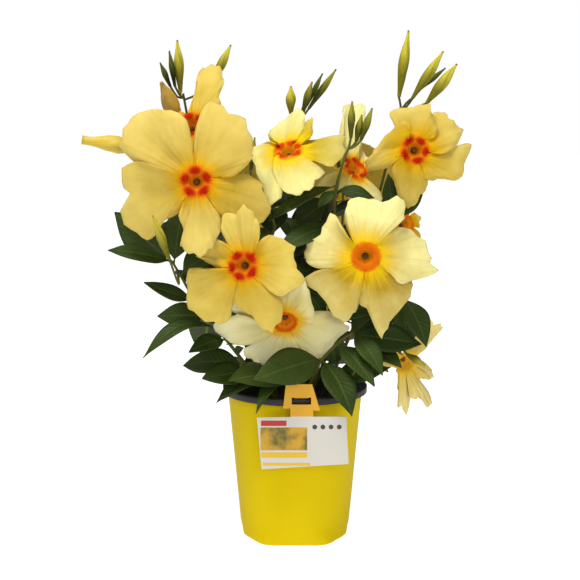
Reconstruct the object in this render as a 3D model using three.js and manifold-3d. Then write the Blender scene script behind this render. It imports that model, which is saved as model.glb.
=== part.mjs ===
// Potted calypso dipladenia: a yellow mandevilla in its nursery pot, inside a yellow plastic pot.
// Millimetres, +Z up, the photographed side faces -Y, the origin is under the middle of the pot.
import * as THREE from "three";
import Module from "manifold-3d";

const wasm = await Module();
wasm.setup();

// Driving dimensions
const FIT = 0.3;
const SLIVER = 0.06;
const POT = { height: 139, topRadius: 64.9, footRadius: 53.6, wall: 2, floor: 2.5, sides: 36 };
const FOOT = { blendHeight: 16, frontCorner: 60.5, sideCorner: 53.5, softening: 8 };
const RIM = { radius: 70, height: 6.4, lipWidth: 3, wall: 1.5, sides: 24 };
const NURSERY = { bottomRadius: 43, topRadius: 60 };
const SOIL = { top: 127, lump: 1.6, rings: 3, sides: 18, stemHoleDepth: 20 };
const LABEL = { front: -74, thickness: 0.9, lean: 3.2 };
const STEM = { bottomRadius: 1.9, topRadius: 1.1, sides: 4, step: 24 };
const STALK = { radius: 1.1, sides: 4, steps: 3, cupRadius: 2.3, cupLength: 5 };
const BLADE = 0.8;
const FUNNEL = { mouth: 8.8, lip: 10.6, length: 46, baseRadius: 2.1, sides: 8 };
const LOBE = {
  rootHalf: 5.8, round: 0.22, skew: 0.12, tilt: -0.12, overlap: 3.4, rootTurn: 34,
  rows: 2, columns: 3,
};
const LEAF = { fold: 0.14, arch: 0.09, spacing: 26, shortest: 60, longest: 92 };
const BUD = { radius: 3.9, sides: 5 };
const FOLIAGE = { top: 352, low: 84, wide: 122 };
const LEAF_ROOM = 7;
const OWN_LEAF_ROOM = 4;

// Colours and finishes
const FINISH = {
  yellowPlastic: { color: 0xdcbf12, roughness: 0.42, metalness: 0 },
  darkPlastic: { color: 0x2b2c2e, roughness: 0.55, metalness: 0 },
  soil: { color: 0x3a2b20, roughness: 0.95, metalness: 0 },
  label: { color: 0xf3f0e6, roughness: 0.5, metalness: 0 },
  green: { color: 0x2f5520, roughness: 0.4, metalness: 0 },
  golden: { color: 0xf6d046, roughness: 0.6, metalness: 0 },
  cream: { color: 0xf5ecb4, roughness: 0.6, metalness: 0 },
  olive: { color: 0xc9b45a, roughness: 0.6, metalness: 0 },
};

// Small vector helpers
const vec = (x, y, z) => new THREE.Vector3(x, y, z);
const UP = vec(0, 0, 1);
const radians = THREE.MathUtils.degToRad;
const smooth = (x, from, to) => THREE.MathUtils.smoothstep(x, from, to);
const sum = (start, ...terms) => terms.reduce((p, [v, k]) => p.addScaledVector(v, k), start.clone());

// A repeatable draw between 0 and 1
function draws(seed) {
  let state = seed;
  return () => {
    state = (state * 16807) % 2147483647;
    return state / 2147483647;
  };
}

// Points and triangles to a closed solid
function solid(points, triangles) {
  const shape = new wasm.Mesh({
    numProp: 3,
    vertProperties: new Float32Array(points.flatMap((p) => [p.x, p.y, p.z])),
    triVerts: new Uint32Array(triangles.flat()),
  });
  return new wasm.Manifold(shape);
}

// Joins solids, keeps the body they form and fills what they close in
function fused(solids) {
  const bodies = wasm.Manifold.union(solids).decompose();
  const whole = bodies.reduce((best, body) => (body.volume() > best.volume() ? body : best));
  return whole.simplify(SLIVER);
}

// Skins a row of rings, each of as many points, and closes its two ends
function skin(rings) {
  const count = rings[0].length;
  const last = (rings.length - 1) * count;
  const triangles = [];
  for (let ring = 0; ring + 1 < rings.length; ring++) {
    for (let k = 0; k < count; k++) {
      const a = ring * count + k;
      const b = ring * count + ((k + 1) % count);
      triangles.push([a, b, b + count], [a, b + count, a + count]);
    }
  }
  for (let k = 1; k + 1 < count; k++) {
    triangles.push([0, k + 1, k], [last, last + k, last + k + 1]);
  }
  return solid(rings.flat(), triangles);
}

// A thin sheet over rows of points, with the same diagonals on both faces. An end row may be a single point
function sheet(rows, thickness) {
  const tall = rows.length;
  const firsts = rows.map((_, i) => rows.slice(0, i).reduce((count, row) => count + row.length, 0));
  const near = (i, j) => {
    const row = rows[Math.min(Math.max(i, 0), tall - 1)];
    return row[Math.min(Math.max(j, 0), row.length - 1)];
  };
  const normal = (i, j) => {
    if (rows[i].length === 1) return normal(i === 0 ? 1 : i - 1, 1);
    const along = near(i + 1, j).clone().sub(near(i - 1, j));
    const across = near(i, j + 1).clone().sub(near(i, j - 1));
    return along.cross(across).normalize();
  };
  const under = rows.map((row, i) => row.map((p, j) => sum(p, [normal(i, j), -thickness])));
  const faces = [];
  for (let i = 0; i + 1 < tall; i++) {
    const [a, b] = [firsts[i], firsts[i + 1]];
    const [here, next] = [rows[i].length, rows[i + 1].length];
    for (let j = 0; j + 1 < Math.max(here, next); j++) {
      if (here === 1) faces.push([a, b + j, b + j + 1]);
      else if (next === 1) faces.push([a + j, b, a + j + 1]);
      else faces.push([a + j, b + j, b + j + 1], [a + j, b + j + 1, a + j + 1]);
    }
  }
  const left = rows.map((_, i) => firsts[i]);
  const right = rows.map((row, i) => firsts[i] + row.length - 1).reverse();
  const between = (i) => rows[i].slice(1, -1).map((_, j) => firsts[i] + 1 + j);
  const edge = [...left, ...between(tall - 1), ...right, ...between(0).reverse()];
  const loop = edge.filter((p, k) => p !== edge[(k + 1) % edge.length]);
  const low = rows.flat().length;
  const walls = loop.flatMap((p, k) => {
    const q = loop[(k + 1) % loop.length];
    return [
      [q, p, p + low],
      [q, p + low, q + low],
    ];
  });
  const backs = faces.map(([p, q, r]) => [p + low, r + low, q + low]);
  return solid([...rows.flat(), ...under.flat()], [...faces, ...backs, ...walls]);
}

// A smooth curve through points, and places spread along it
function curve(points) {
  return new THREE.CatmullRomCurve3(points, false, "catmullrom", 0.5);
}

function places(path, count) {
  return Array.from({ length: count + 1 }, (_, k) => path.getPoint(k / count));
}

// A round stem through points, whose radius follows a function of 0 to 1
function tube(points, radius, sides) {
  const count = points.length - 1;
  let side = vec(0, 0, 0);
  const rings = points.map((p, k) => {
    const along = points[Math.min(k + 1, count)].clone().sub(points[Math.max(k - 1, 0)]).normalize();
    if (k === 0) side = Math.abs(along.z) > 0.9 ? vec(1, 0, 0) : vec(0, 0, 1);
    side = sum(side, [along, -side.dot(along)]).normalize();
    const other = along.clone().cross(side);
    return Array.from({ length: sides }, (_, n) => {
      const turn = (2 * Math.PI * n) / sides;
      const r = radius(k / count);
      return sum(p, [side, r * Math.cos(turn)], [other, r * Math.sin(turn)]);
    });
  });
  return skin(rings);
}

// Outer pot
function bodyRadius(z) {
  const share = (z - FOOT.blendHeight) / (POT.height - FOOT.blendHeight);
  return POT.footRadius + (POT.topRadius - POT.footRadius) * share;
}

// Distance from the axis to the foot's soft-cornered outline, at an angle from the front
function footRadius(angle) {
  const near = [-1, 0, 0, 1].map((side) => sharpFootRadius(angle + side * radians(FOOT.softening)));
  return near.reduce((total, r) => total + r, 0) / near.length;
}

function sharpFootRadius(angle) {
  const turn = Math.abs(Math.atan2(Math.sin(angle), Math.cos(angle)));
  const corners = [
    [radians(-30), FOOT.frontCorner],
    [radians(30), FOOT.frontCorner],
    [radians(70), FOOT.sideCorner],
    [radians(110), FOOT.sideCorner],
    [radians(150), FOOT.frontCorner],
    [radians(210), FOOT.frontCorner],
  ];
  const after = Math.max(corners.findIndex(([corner]) => corner >= turn - 1e-9), 1);
  const [from, to] = [corners[after - 1], corners[after]];
  const [x0, y0] = [from[1] * Math.sin(from[0]), from[1] * Math.cos(from[0])];
  const [x1, y1] = [to[1] * Math.sin(to[0]), to[1] * Math.cos(to[0])];
  return (x0 * y1 - x1 * y0) / (Math.sin(turn) * (y1 - y0) - Math.cos(turn) * (x1 - x0));
}

function potRing(z, inset) {
  const blend = smooth(z, 0, FOOT.blendHeight);
  return Array.from({ length: POT.sides }, (_, k) => {
    const angle = (2 * Math.PI * k) / POT.sides;
    const round = bodyRadius(Math.max(z, FOOT.blendHeight));
    const r = footRadius(angle) * (1 - blend) + round * blend - inset;
    return vec(r * Math.sin(angle), -r * Math.cos(angle), z);
  });
}

function outerPot() {
  const inner = POT.wall;
  return skin([
    potRing(0, 2.4),
    potRing(1.6, 0),
    potRing(9, 0),
    potRing(FOOT.blendHeight, 0),
    potRing(POT.height, 0),
    potRing(POT.height, inner),
    potRing(FOOT.blendHeight, inner),
    potRing(POT.floor, inner + 1.6),
  ]);
}

// Nursery pot and soil
function ring(radius, height, sides) {
  const lift = typeof height === "function" ? height : () => height;
  return Array.from({ length: sides }, (_, k) => {
    const angle = (2 * Math.PI * k) / sides;
    const x = radius * Math.sin(angle);
    const y = -radius * Math.cos(angle);
    return vec(x, y, lift(x, y));
  });
}

const NURSERY_FLOOR = POT.floor + FIT;
const RIM_BOTTOM = POT.height + FIT;
const RIM_TOP = RIM_BOTTOM + RIM.height;

function nurseryPot() {
  const rows = [
    [NURSERY.bottomRadius, NURSERY_FLOOR],
    [NURSERY.topRadius, RIM_BOTTOM],
    [RIM.radius - 0.2, RIM_BOTTOM],
    [RIM.radius, RIM_TOP - 0.6],
    [RIM.radius - 0.6, RIM_TOP],
    [RIM.radius - RIM.lipWidth, RIM_TOP],
    [RIM.radius - RIM.lipWidth - 0.8, RIM_BOTTOM + RIM.wall],
    [NURSERY.topRadius - RIM.wall, RIM_BOTTOM - 4],
    [NURSERY.bottomRadius - RIM.wall, NURSERY_FLOOR + RIM.wall],
  ];
  return skin(rows.map(([radius, z]) => ring(radius, z, RIM.sides)));
}

function soilHeight(x, y) {
  const lumps = Math.sin(x / 6.1 + 1) * Math.cos(y / 5.3) + 0.6 * Math.sin((x + 2 * y) / 7.7);
  return SOIL.top + SOIL.lump * lumps;
}

function soil(stems) {
  const bottom = NURSERY_FLOOR + RIM.wall + FIT;
  const slope = (NURSERY.topRadius - NURSERY.bottomRadius) / (RIM_BOTTOM - 3 - NURSERY_FLOOR);
  const inside = (z) => NURSERY.bottomRadius + slope * (z - NURSERY_FLOOR) - RIM.wall - FIT - 0.3;
  const top = inside(SOIL.top - 2);
  const rings = [ring(inside(bottom) - 0.2, bottom, SOIL.sides)];
  for (let k = 0; k < SOIL.rings; k++) {
    rings.push(ring(top * (1 - k / SOIL.rings), soilHeight, SOIL.sides));
  }
  const holes = stems.map(({ path }) => {
    const [x, y] = path[0];
    const wide = () => STEM.bottomRadius + 0.8;
    return tube([vec(x, y, SOIL.top - SOIL.stemHoleDepth), vec(x, y, SOIL.top + 9)], wide, 6);
  });
  return fused([skin(rings)]).subtract(wasm.Manifold.union(holes));
}

// Plant label: a card that hangs in front of the pot, and a slotted hanger whose tab hooks over the rim
const CARD = [
  [-35.3, 130],
  [-31.1, 81],
  [49.4, 86],
  [47, 130.9],
];
const HANGER = [
  [-4.5, 126],
  [-4.5, 138.5],
  [-11.2, 138.2],
  [-8.6, 161],
  [15.4, 161],
  [23, 136.2],
  [16.6, 136.6],
  [16.6, 126],
];
const SLOT = { left: -3.2, right: 14.6, bottom: 142, top: 148.6 };

function plate(outline, holes = []) {
  const shape = new THREE.Shape(outline.map(([x, z]) => new THREE.Vector2(x, z)));
  shape.holes = holes.map((hole) => new THREE.Path(hole.map(([x, z]) => new THREE.Vector2(x, z))));
  return solidOf(new THREE.ExtrudeGeometry(shape, { depth: LABEL.thickness, bevelEnabled: false }));
}

// A three.js geometry as a solid
function solidOf(geometry) {
  const corners = geometry.getAttribute("position");
  const points = [];
  const known = new Map();
  const numbers = [];
  for (let k = 0; k < corners.count; k++) {
    const p = vec(corners.getX(k), corners.getY(k), corners.getZ(k));
    const key = [p.x, p.y, p.z].map((value) => value.toFixed(3)).join();
    if (!known.has(key)) {
      known.set(key, points.length);
      points.push(p);
    }
    numbers.push(known.get(key));
  }
  const triangles = Array.from({ length: numbers.length / 3 }, (_, k) => numbers.slice(3 * k, 3 * k + 3));
  return solid(points, triangles);
}

function plantLabel() {
  const { left, right, bottom, top } = SLOT;
  const slot = [
    [left, bottom],
    [right, bottom],
    [right, top],
    [left, top],
  ];
  const flat = fused([plate(CARD), plate(HANGER, [slot])]);
  const standing = flat.rotate([90, 0, 0]).translate([0, LABEL.front + LABEL.thickness, 0]);
  const leaning = standing.warp((p) => {
    p[1] += LABEL.lean * Math.max(p[2] / RIM_TOP - 1, 0);
  });
  const front = LABEL.front;
  const inner = -(RIM.radius - RIM.lipWidth - 3.4);
  const hook = [
    [front + 0.2, top + 0.7],
    [front + 0.2, top - 0.4],
    [inner - 0.9, RIM_TOP + 0.5],
    [inner - 0.9, RIM_TOP - 3.6],
    [inner, RIM_TOP - 3.6],
    [inner, RIM_TOP + 1.6],
  ];
  const tab = new THREE.Shape(hook.map(([y, z]) => new THREE.Vector2(y, z)));
  const wide = right - left - 5;
  const folded = solidOf(new THREE.ExtrudeGeometry(tab, { depth: wide, bevelEnabled: false }))
    .rotate([90, 0, 90])
    .translate([left + 2.5, 0, 0]);
  return fused([leaning, folded]);
}

// Blooms. A bloom's frame: its mouth, the way it faces, and the right and up seen from its front
function frameOf(at, facing) {
  const front = vec(...facing).normalize();
  const right = UP.clone().cross(front).normalize();
  return { at: vec(...at), front, right, up: front.clone().cross(right) };
}

// A place on a lobe: s runs from root to end, u from one edge to the other. The point is
// where across a lobe its pointed end sits, and how far that stands out
function lobePoint(frame, lobe, s, u) {
  if (lobe.rim) return petalPoint(frame, lobe, s, u);
  const { turn, reach, roll = 35, lift = -6, wide = 0.6, wave = 2, phase = 0 } = lobe;
  const { round = LOBE.round, skew = LOBE.skew, point = [0, 0] } = lobe;
  const beside = Math.max(1 - 1.5 * Math.abs(u - point[0]), 0);
  const pointed = (point[1] / (reach - FUNNEL.mouth)) * s ** 3 * beside;
  const long = s * (1 - round * u * u * s + skew * u * s) + pointed;
  const [start, bend] = [radians(lift), radians(roll)];
  const sines = (Math.cos(start) - Math.cos(start + bend * long)) / bend;
  const cosines = (Math.sin(start + bend * long) - Math.sin(start)) / bend;
  const whole = (Math.sin(start + bend) - Math.sin(start)) / bend;
  const length = (reach - FUNNEL.mouth) / Math.max(whole, 0.45);
  const full = wide * length;
  const half = LOBE.rootHalf + (full - LOBE.rootHalf) * Math.sin((Math.PI / 2) * Math.min(s / 0.75, 1));
  const across = u * (half - 0.2 * full * smooth(s, 0.7, 1));
  const ripple = wave * s * s * Math.sin(2.6 * u + phase);
  const offset = LOBE.tilt * u * s * full + ripple;
  const lean = start + bend * long;
  const out = FUNNEL.mouth - 0.2 + length * cosines + offset * Math.sin(lean);
  const ahead = -0.6 - length * sines + offset * Math.cos(lean);
  const angle = radians(turn);
  const radial = sum(frame.right.clone().multiplyScalar(Math.cos(angle)), [frame.up, Math.sin(angle)]);
  const sideways = sum(frame.up.clone().multiplyScalar(Math.cos(angle)), [frame.right, -Math.sin(angle)]);
  return sum(frame.at, [radial, out], [sideways, across], [frame.front, ahead]);
}

// A place on a petal: straight out from the mouth to its rim, then bent back, tilted and waved
function petalPoint(frame, { back, rim, edge, phase }, s, u) {
  const [first, last] = [rim[0][0], rim[rim.length - 1][0]];
  const half = Math.min((last - first) / 2, LOBE.rootTurn);
  const root = corner([(first + last) / 2 + half * u, FUNNEL.mouth + 0.2]);
  const place = root.lerp(edge.getPoint((u + 1) / 2), s);
  const far = place.length();
  const wave = 1.5 * s * s * Math.sin(2.6 * u + phase);
  const ahead = wave - 0.6 - (back * far * far) / 60 - LOBE.overlap * u * s;
  return sum(frame.at, [frame.right, place.x], [frame.up, place.y], [frame.front, ahead]);
}

function funnel(frame) {
  const { mouth, lip, length, baseRadius, sides } = FUNNEL;
  const rows = [
    [-length, baseRadius],
    [-0.58 * length, 2.9],
    [-0.3 * length, 6.8],
    [0.4, lip],
    [0, mouth],
    [-0.36 * length, 3.6],
  ];
  const rings = rows.map(([ahead, radius]) =>
    Array.from({ length: sides }, (_, k) => {
      const turn = (2 * Math.PI * k) / sides;
      const side = sum(frame.at, [frame.right, radius * Math.cos(turn)]);
      return sum(side, [frame.up, radius * Math.sin(turn)], [frame.front, ahead]);
    }),
  );
  return skin(rings);
}

function bloomSolid({ frame, lobes }) {
  const sheets = lobes.map((lobe) => {
    const columns = lobe.rim ? lobe.rim.length - 1 : LOBE.columns;
    const rows = [];
    for (let i = 0; i <= LOBE.rows; i++) {
      const row = [];
      for (let j = 0; j <= columns; j++) {
        row.push(lobePoint(frame, lobe, i / LOBE.rows, (2 * j) / columns - 1));
      }
      rows.push(row);
    }
    return sheet(rows, BLADE);
  });
  return fused([funnel(frame), ...sheets]);
}

// Where a bloom's tube ends, and so its stalk
function bloomFoot(frame) {
  return sum(frame.at, [frame.front, -FUNNEL.length - FIT]);
}

// Open blooms: mouth, facing, and each lobe. A lobe is given by its direction and reach with what sets
// it apart, or a petal by how far it bends back and the corners of its rim, each a direction and a reach
const lobe = (turn, reach, more = {}) => ({ turn, reach, phase: radians(turn * 1.7), ...more });
const across = (turn, reach) => vec(reach * Math.cos(turn), reach * Math.sin(turn), 0);
const corner = ([turn, reach]) => across(radians(turn), reach);
const petal = (back, rim) => ({ back, rim, edge: curve(rim.map(corner)), phase: radians(rim[0][0] * 1.7) });
const BLOOMS = {
  bloom_left: {
    at: [-87.7, -95, 347.5],
    facing: [0, -1, 0.05],
    finish: "golden",
    lobes: [
      petal(0.16, [
        [24, 17], [9, 33], [20, 49], [29, 58], [52, 67], [73, 72], [83, 69], [89, 53], [96, 30],
      ]),
      petal(0.16, [
        [96, 30], [97, 43], [101, 58], [115, 71], [128, 79], [143, 82], [154, 76], [162, 59], [164, 36],
        [166, 18],
      ]),
      petal(0.16, [
        [155, 19], [159, 42], [163, 61], [177, 67], [191, 65], [205, 75], [219, 72], [231, 67],
        [228, 49], [243, 29], [241, 17],
      ]),
      petal(0.0, [
        [239, 21], [243, 34], [256, 45], [256, 60], [266, 62], [279, 64], [288, 54], [302, 42],
        [308, 29], [309, 16],
      ]),
      petal(0.12, [
        [311, 16], [306, 35], [316, 54], [327, 68], [341, 69], [352, 61], [365, 49], [376, 35],
        [388, 17],
      ]),
    ],
  },
  bloom_upper_left: {
    at: [-94.4, -45, 397],
    facing: [0.05, -0.8, 0.6],
    finish: "golden",
    lobes: [
      petal(0.1, [
        [32, 26], [42, 36], [55, 43], [60, 61], [68, 73], [76, 77], [82, 76], [85, 69], [85, 48],
        [90, 29], [109, 14],
      ]),
      lobe(140, 20, { roll: 80, wide: 0.4 }),
      lobe(220, 28, { roll: 60 }),
      lobe(300, 28, { roll: 60 }),
      lobe(20, 34, { roll: 70 }),
    ],
  },
  bloom_low_centre: {
    at: [-46.4, -100, 273.8],
    facing: [-0.15, -0.98, 0.1],
    finish: "golden",
    lobes: [
      petal(0.2, [
        [315, 17], [317, 29], [321, 42], [333, 48], [346, 55], [360, 47], [379, 45], [396, 41],
        [413, 34], [421, 21],
      ]),
      petal(-0.22, [
        [55, 19], [61, 32], [73, 45], [82, 50], [92, 51], [98, 46], [110, 49], [120, 40], [127, 27],
        [122, 14],
      ]),
      petal(0.45, [
        [120, 14], [132, 28], [142, 39], [155, 46], [169, 51], [173, 40], [182, 29], [194, 18],
        [195, 9],
      ]),
      petal(0.2, [
        [203, 10], [192, 29], [184, 50], [192, 55], [203, 58], [214, 66], [227, 61], [244, 61],
        [254, 48], [243, 36], [238, 20],
      ]),
      petal(0.2, [
        [247, 16], [240, 27], [259, 36], [277, 45], [289, 59], [297, 63], [310, 53], [317, 43],
        [315, 30], [309, 17],
      ]),
    ],
  },
  bloom_cream: {
    at: [-9.3, -66, 217.5],
    facing: [0, -0.9, -0.43],
    finish: "cream",
    lobes: [
      petal(0.2, [
        [300, 11], [290, 27], [294, 41], [303, 56], [315, 58], [332, 55], [345, 63], [353, 49],
        [363, 37], [363, 24], [339, 11],
      ]),
      petal(0.2, [
        [18, 10], [-8, 21], [4, 27], [44, 33], [66, 43], [80, 35], [100, 27], [119, 19], [128, 9],
      ]),
      petal(0.2, [
        [125, 13], [131, 24], [143, 38], [152, 49], [165, 57], [174, 51], [181, 40], [184, 25],
        [193, 13],
      ]),
      petal(0.08, [
        [174, 13], [176, 27], [173, 43], [183, 58], [192, 68], [206, 59], [222, 42], [230, 29],
        [239, 18],
      ]),
      petal(0.02, [
        [238, 16], [222, 34], [221, 51], [232, 57], [247, 55], [263, 53], [277, 49], [290, 40],
        [294, 27], [289, 16],
      ]),
    ],
  },
  bloom_right: {
    at: [63.3, -85, 279.8],
    facing: [0, -1, 0.03],
    finish: "golden",
    lobes: [
      petal(0.16, [
        [327, 16], [329, 27], [322, 39], [333, 48], [347, 66], [356, 60], [372, 54], [389, 48],
        [402, 38], [410, 23],
      ]),
      petal(0.16, [
        [52, 22], [49, 38], [45, 50], [57, 61], [70, 53], [89, 52], [104, 53], [112, 47], [121, 34],
        [130, 20],
      ]),
      petal(0.16, [
        [133, 20], [133, 31], [130, 39], [126, 45], [134, 49], [154, 47], [172, 53], [181, 55],
        [190, 50], [201, 34], [210, 17],
      ]),
      petal(0.16, [
        [210, 18], [203, 30], [197, 45], [202, 62], [218, 54], [236, 58], [252, 62], [259, 54],
        [263, 41], [269, 28], [268, 17],
      ]),
      petal(0.16, [
        [270, 15], [270, 30], [261, 42], [275, 54], [280, 72], [285, 73], [291, 64], [307, 57],
        [320, 55], [331, 47], [327, 34], [325, 18],
      ]),
    ],
  },
  bloom_top_right: {
    at: [110.1, -40, 373.6],
    facing: [0, -1, 0.08],
    finish: "golden",
    lobes: [
      petal(0.2, [
        [293, 14], [292, 31], [311, 35], [329, 50], [346, 48], [364, 53], [367, 49], [359, 38],
        [348, 25], [352, 12],
      ]),
      petal(0.2, [
        [355, 12], [352, 26], [366, 38], [385, 48], [402, 44], [416, 43], [425, 36], [411, 29],
        [404, 15],
      ]),
      petal(0.2, [
        [50, 14], [33, 22], [47, 30], [66, 37], [75, 44], [96, 40], [121, 42], [127, 33], [130, 19],
        [124, 12],
      ]),
      petal(0.2, [
        [131, 13], [101, 21], [114, 29], [147, 28], [177, 36], [191, 44], [203, 45], [212, 31],
        [209, 22], [198, 11],
      ]),
      petal(0.2, [
        [207, 12], [195, 18], [221, 28], [243, 37], [257, 51], [266, 52], [276, 45], [289, 36],
        [296, 26], [292, 14],
      ]),
    ],
  },
  bloom_top_centre: {
    at: [-6.6, -45, 373.8],
    facing: [-0.1, -0.55, 0.8],
    finish: "cream",
    lobes: [
      petal(0.2, [
        [322, 14], [330, 28], [336, 47], [359, 49], [379, 53], [407, 65], [413, 49], [419, 32],
        [424, 17],
      ]),
      petal(-0.2, [
        [39, 11], [39, 20], [45, 29], [65, 41], [74, 39], [83, 32], [80, 23], [88, 17],
      ]),
      petal(-0.2, [
        [69, 10], [66, 21], [71, 36], [85, 50], [98, 47], [114, 40], [129, 35], [134, 26], [127, 19],
      ]),
      petal(0.35, [
        [170, 10], [151, 30], [157, 43], [198, 33], [239, 39], [258, 56], [269, 48], [262, 32],
        [217, 16],
      ]),
      petal(0.2, [
        [230, 17], [245, 27], [264, 40], [278, 50], [291, 54], [306, 50], [325, 44], [339, 32],
        [356, 18], [357, 8],
      ]),
    ],
  },
  bloom_centre_right: {
    at: [56.9, -15, 355.2],
    facing: [0.45, -0.6, 0.66],
    finish: "cream",
    lobes: [
      petal(0.0, [
        [270, 8], [340, 14], [389, 24], [412, 34], [419, 21],
      ]),
      petal(-0.3, [
        [89, 10], [58, 33], [64, 62], [71, 66], [82, 64], [84, 50], [92, 32], [96, 14],
      ]),
      petal(0.2, [
        [165, 14], [181, 25], [186, 41], [198, 49], [209, 40], [221, 28], [212, 11],
      ]),
      petal(0.2, [
        [216, 17], [224, 29], [238, 36], [265, 34], [294, 38], [305, 29], [306, 18], [296, 7],
      ]),
    ],
  },
  bloom_far_right: {
    at: [105.5, 8, 302],
    facing: [0.5, -0.75, 0.4],
    finish: "golden",
    lobes: [lobe(80, 25), lobe(152, 24), lobe(224, 30), lobe(296, 26), lobe(8, 22)],
  },
  bloom_low_right: {
    at: [106, -14, 169],
    facing: [0.3, -0.88, -0.36],
    finish: "golden",
    lobes: [
      petal(0.1, [
        [249, 12], [263, 26], [273, 39], [272, 51], [277, 53], [284, 70], [288, 61], [292, 53],
      ]),
      petal(0.1, [
        [286, 44], [300, 56], [302, 67], [307, 69], [310, 57], [310, 36],
      ]),
      petal(0.1, [
        [311, 30], [320, 29], [327, 38], [332, 39], [342, 28], [353, 18],
      ]),
      petal(0.1, [
        [29, 12], [42, 25], [46, 37], [48, 48], [57, 48], [69, 46], [85, 43], [98, 30],
      ]),
      lobe(160, 22, { roll: 80 }),
    ],
  },
  bloom_back_left: {
    at: [-62, 100, 318],
    facing: [-0.25, 0.95, 0.25],
    finish: "golden",
    lobes: [lobe(90, 62), lobe(162, 58), lobe(234, 60), lobe(306, 48), lobe(18, 58)],
  },
  bloom_back_right: {
    at: [66, 98, 326],
    facing: [0.2, 0.95, 0.3],
    finish: "golden",
    lobes: [lobe(80, 58), lobe(152, 62), lobe(224, 58), lobe(296, 60), lobe(8, 60)],
  },
  bloom_back_low: {
    at: [14, 103, 232],
    facing: [0.1, 0.98, -0.1],
    finish: "cream",
    lobes: [lobe(96, 54), lobe(168, 52), lobe(240, 56), lobe(312, 54), lobe(24, 52)],
  },
};

// Closed flowers: a furled spindle from its foot to its tip
const FURLED = {
  closed_flower_left: {
    from: [-150, -33, 376],
    tip: [-196, -40, 383],
    swell: [0.4, 0.95, 1, 0.72, 0.45, 0.5],
    radius: 8.5,
    finish: "golden",
  },
  faded_flower_left: {
    from: [-110, -22, 403],
    tip: [-122, -44, 435],
    swell: [0.4, 0.95, 1, 0.8, 0.5, 0.12],
    radius: 8.5,
    finish: "olive",
  },
};

function furled({ from, tip, swell, radius }) {
  const points = Array.from({ length: 6 }, (_, k) => vec(...from).lerp(vec(...tip), k / 5));
  return tube(points, (t) => radius * swell[Math.round(5 * t)], 7);
}

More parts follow.
